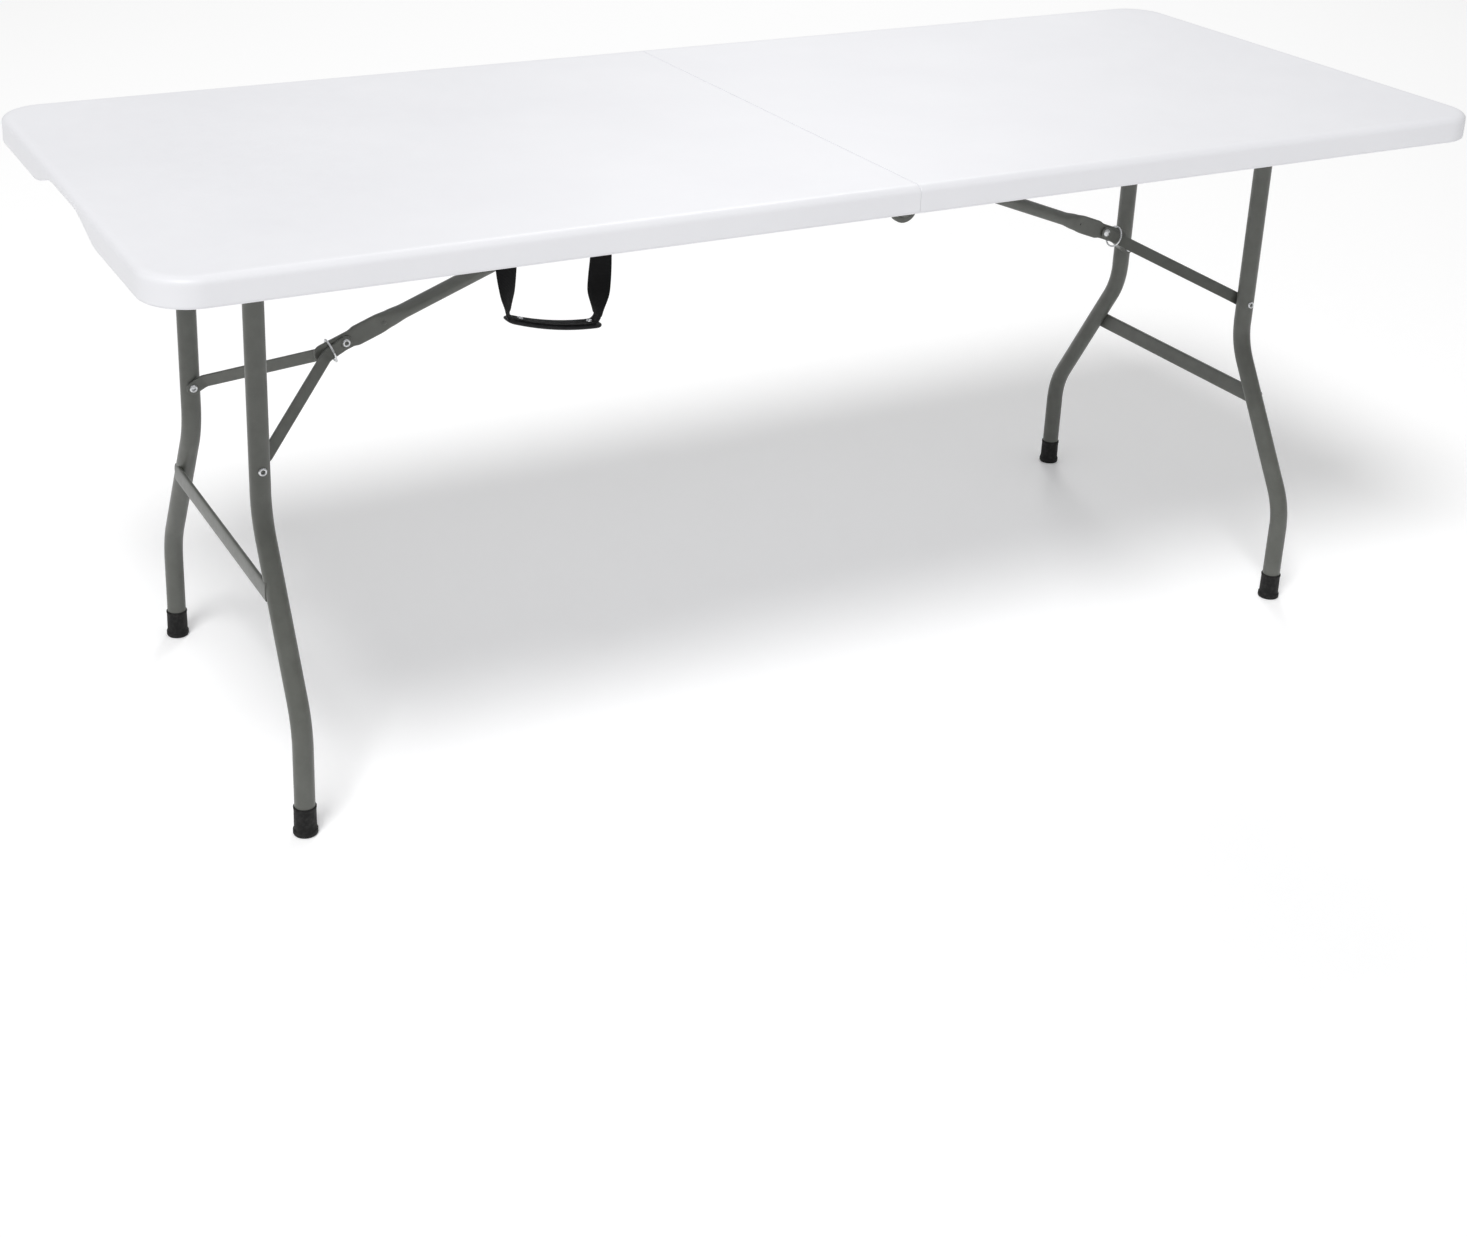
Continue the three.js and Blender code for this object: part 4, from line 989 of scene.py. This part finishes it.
def make_grip():
    """Slim slat under the webbing, bowed down, with thin ends and a rivet at each end."""
    x0, x1 = GRIP_SPAN
    middle, half = (x0 + x1) / 2, (x1 - x0) / 2
    wide, stations, steps = 21 * MM, [], 44
    for i in range(steps + 1):
        t = -1 + 2 * i / steps
        t = math.copysign(1 - (1 - abs(t)) ** 1.5, t)
        x = middle + half * t
        z, slope = grip_line(x)
        end = math.sqrt(max(1 - max((abs(t) - 0.86) / 0.14, 0) ** 2, 0.03))
        stations.append((Vector((x, HANDLE_Y, z)), Vector((1, 0, slope)).normalized(),
                         oval(wide / 2 * (0.4 + 0.6 * end), GRIP_TALL / 2 * (0.3 + 0.7 * end), 3.4, 40)))
    obj = sweep("grip_slat", stations, AXIS_Y, 50)
    finish_piece(obj, 0, "handle", BLACK, "handle_grip")
    for where, x in (("a", STRAPS[0] + 17 * MM), ("b", STRAPS[1] - 13 * MM)):
        z, slope = grip_line(x)
        point = Vector((x, HANDLE_Y, z + GRIP_TALL / 2 + 1.5 * MM))
        head = rivet_head(f"grip_rivet_{where}", point, (-slope, 0, 1), 3.6 * MM, 1.5 * MM)
        finish_piece(head, 0, "handle", ZINC)


def make_loop(where, x):
    """Webbing wrapped round the rail."""
    low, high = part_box(f"rail_loop_{where}")
    centre = (low + high) / 2
    half_y, half_z = (high.y - low.y) / 2 - 0.6 * MM, (high.z - low.z) / 2 - 0.45 * MM
    corner, stations = 2.2 * MM, []
    for quarter in range(4):
        start = quarter * math.pi / 2
        cy = (half_y - corner) * (1 if quarter in (0, 3) else -1)
        cz = (half_z - corner) * (1 if quarter in (0, 1) else -1)
        for i in range(6):
            angle = start + math.pi / 2 * i / 5
            normal = Vector((0, math.cos(angle), math.sin(angle)))
            stations.append((Vector((x, centre.y + cy, centre.z + cz)) + normal * corner,
                             AXIS_X, normal, LOOP_WIDE))
    stations.append(stations[0])
    obj = ribbon(f"rail_band_{where}", stations, LOOP_WIDE, 1.3 * MM)
    finish_piece(obj, 0, "half_left", BAND, f"rail_loop_{where}")


# ---- fittings
def make_centre_bar():
    obj, front, back = bar_along_y("centre_bar", *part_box("centre_tube"), 1.2 * MM, 48)
    finish_piece(obj, 0, "centre_tube", GREY, "centre_tube")
    for end, point, side in (("front", front, -1), ("back", back, 1)):
        cap = rivet_head(f"centre_pin_{end}", point, (0, side, 0), 7 * MM, 2.0 * MM)
        finish_piece(cap, 0, "centre_tube", GREY)


def make_rail_rivets(label, turn):
    """Three rivets through each rail into the moulding."""
    places = (RAIL_LOW.x + 71 * MM, (RAIL_LOW.x + RAIL_HIGH.x) / 2 + 45 * MM, RAIL_HIGH.x - 70 * MM)
    middle = (RAIL_LOW.z + RAIL_HIGH.z) / 2
    inner = RAIL_HIGH.y
    for where, side in SIDES:
        heads = [rivet_head("head", Vector((x, -side * inner, middle)), (0, -side, 0), 5 * MM, 2 * MM)
                 for x in places]
        obj = joined(f"rail_rivets_{label}_{where}", heads, 50)
        finish_piece(obj, turn, f"half_{label}", ZINC)


def make_clip_screws(label, turn):
    """Two domed screws through the foot of each pivot clip."""
    profile = in_mm((0, -1), (4, -1), (4, 0), (3.6, 0.9), (2.4, 1.7), (0, 2))
    for where, _ in SIDES:
        low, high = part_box(f"pivot_clip_left_{where}")
        places = [Vector((PIVOT.x + offset, (low.y + high.y) / 2, FLOOR_Z - 5 * MM))
                  for offset in (-20 * MM, 20 * MM)]
        heads = [lathe("head", profile, place, (0, 0, -1), 24, 50) for place in places]
        obj = joined(f"clip_screws_{label}_{where}", heads, 50)
        finish_piece(obj, turn, f"half_{label}", ZINC)


# node prefix, prefix of the piece's name, finish
EASED = (("rail_plug", "plug_end", BLACK), ("rail_", "pressed", GREY), ("hinge_plate", "ear", GREY),
         ("pivot_clip", "bearing", BLACK), ("storage_clip", "spring_clip", BLACK))


def make_eased(node_name, prefix, body, finish):
    """A small fitting with the node's flats and edges eased by half a millimetre."""
    node = frame["nodes"][node_name]
    shape = bmesh.new()
    shape.from_mesh(node.data)
    bmesh.ops.remove_doubles(shape, verts=shape.verts, dist=1e-6)
    bmesh.ops.dissolve_limit(shape, angle_limit=math.radians(1), verts=shape.verts, edges=shape.edges)
    sharp = [e for e in shape.edges
             if len(e.link_faces) == 2 and e.calc_face_angle(0) > math.radians(35)]
    bmesh.ops.bevel(shape, geom=sharp, offset=0.5 * MM, offset_type="OFFSET", segments=2,
                    profile=0.5, affect="EDGES", clamp_overlap=True)
    bmesh.ops.triangulate(shape, faces=shape.faces)
    points = [v.co.copy() for v in shape.verts]
    faces = [[v.index for v in f.verts] for f in shape.faces]
    shape.free()
    piece = make_object(prefix + "_" + node_name, points, faces, 50)
    finish_piece(piece, 0, body, finish, node_name)


def make_fittings():
    """The rails, ears, clips and plugs: every node that no other piece stands for."""
    for body, names in frame["record"]["behaviour"]["bodies"].items():
        for node_name in names:
            if frame["nodes"][node_name].hide_render:
                continue
            _, prefix, finish = next(row for row in EASED if node_name.startswith(row[0]))
            make_eased(node_name, prefix, body, finish)


# ---- stage
def make_floor():
    reach = 30
    corners = ((-reach, -reach, 0), (reach, -reach, 0), (reach, reach, 0), (-reach, reach, 0))
    floor = make_object("floor", corners, [(0, 1, 2, 3)])
    material, shader = new_material("floor", (0.98, 0.98, 0.98), 0.95)
    shader.inputs["Emission Color"].default_value = (1, 1, 1, 1)
    shader.inputs["Emission Strength"].default_value = 0.1
    floor.data.materials.append(material)


def area_light(name, position, size, power):
    """Round soft light that looks at the table's middle."""
    light = bpy.data.lights.new(name, "AREA")
    light.shape, light.size, light.energy = "DISK", size, power
    obj = new_object(name, light)
    obj.location = position
    look = Vector((0, 0, 0.6)) - obj.location
    obj.rotation_euler = look.to_track_quat("-Z", "Y").to_euler()


def make_lights():
    world = bpy.data.worlds.new("studio")
    world.use_nodes = True
    background = world.node_tree.nodes["Background"]
    background.inputs["Color"].default_value = (1, 1, 1, 1)
    background.inputs["Strength"].default_value = 0.38
    bpy.context.scene.world = world
    area_light("key", (-4.0, -3.7, 9.7), 4.0, 720)
    area_light("back", (4.0, 6.0, 6.0), 3.0, 150)
    view = bpy.context.scene.view_settings
    view.view_transform, view.look = "Standard", "None"


def make_camera():
    """Camera at the photograph's viewing point."""
    data = bpy.data.cameras.new("camera")
    sensor, focal_px, image_px = 36.0, 2209.3, 1467
    data.sensor_fit, data.sensor_width = "HORIZONTAL", sensor
    data.lens = sensor * focal_px / image_px
    data.shift_x, data.shift_y = 0.0368, -0.1727
    camera = new_object("camera", data)
    camera.location = (-1.4335, -2.4276, 1.4766)
    tilt, roll, heading = 68.693, -1.882, -27.765
    camera.rotation_euler = [math.radians(angle) for angle in (tilt, roll, heading)]
    bpy.context.scene.camera = camera


# ---- build
for label, turn in HALVES:
    for make in (make_top, make_cross_tube, make_stretcher, make_brace, make_knee_rivet,
                 make_lock_ring, make_rail_rivets, make_clip_screws):
        make(label, turn)
    for where, side in SIDES:
        for make in (make_leg, make_leg_rivet, make_foot, make_bar, make_bar_rivet):
            make(label, turn, where, side)
make_centre_bar()
make_webbing()
make_grip()
make_loop("a", STRAPS[0])
make_loop("b", STRAPS[1])
make_fittings()
make_floor()
make_lights()
make_camera()
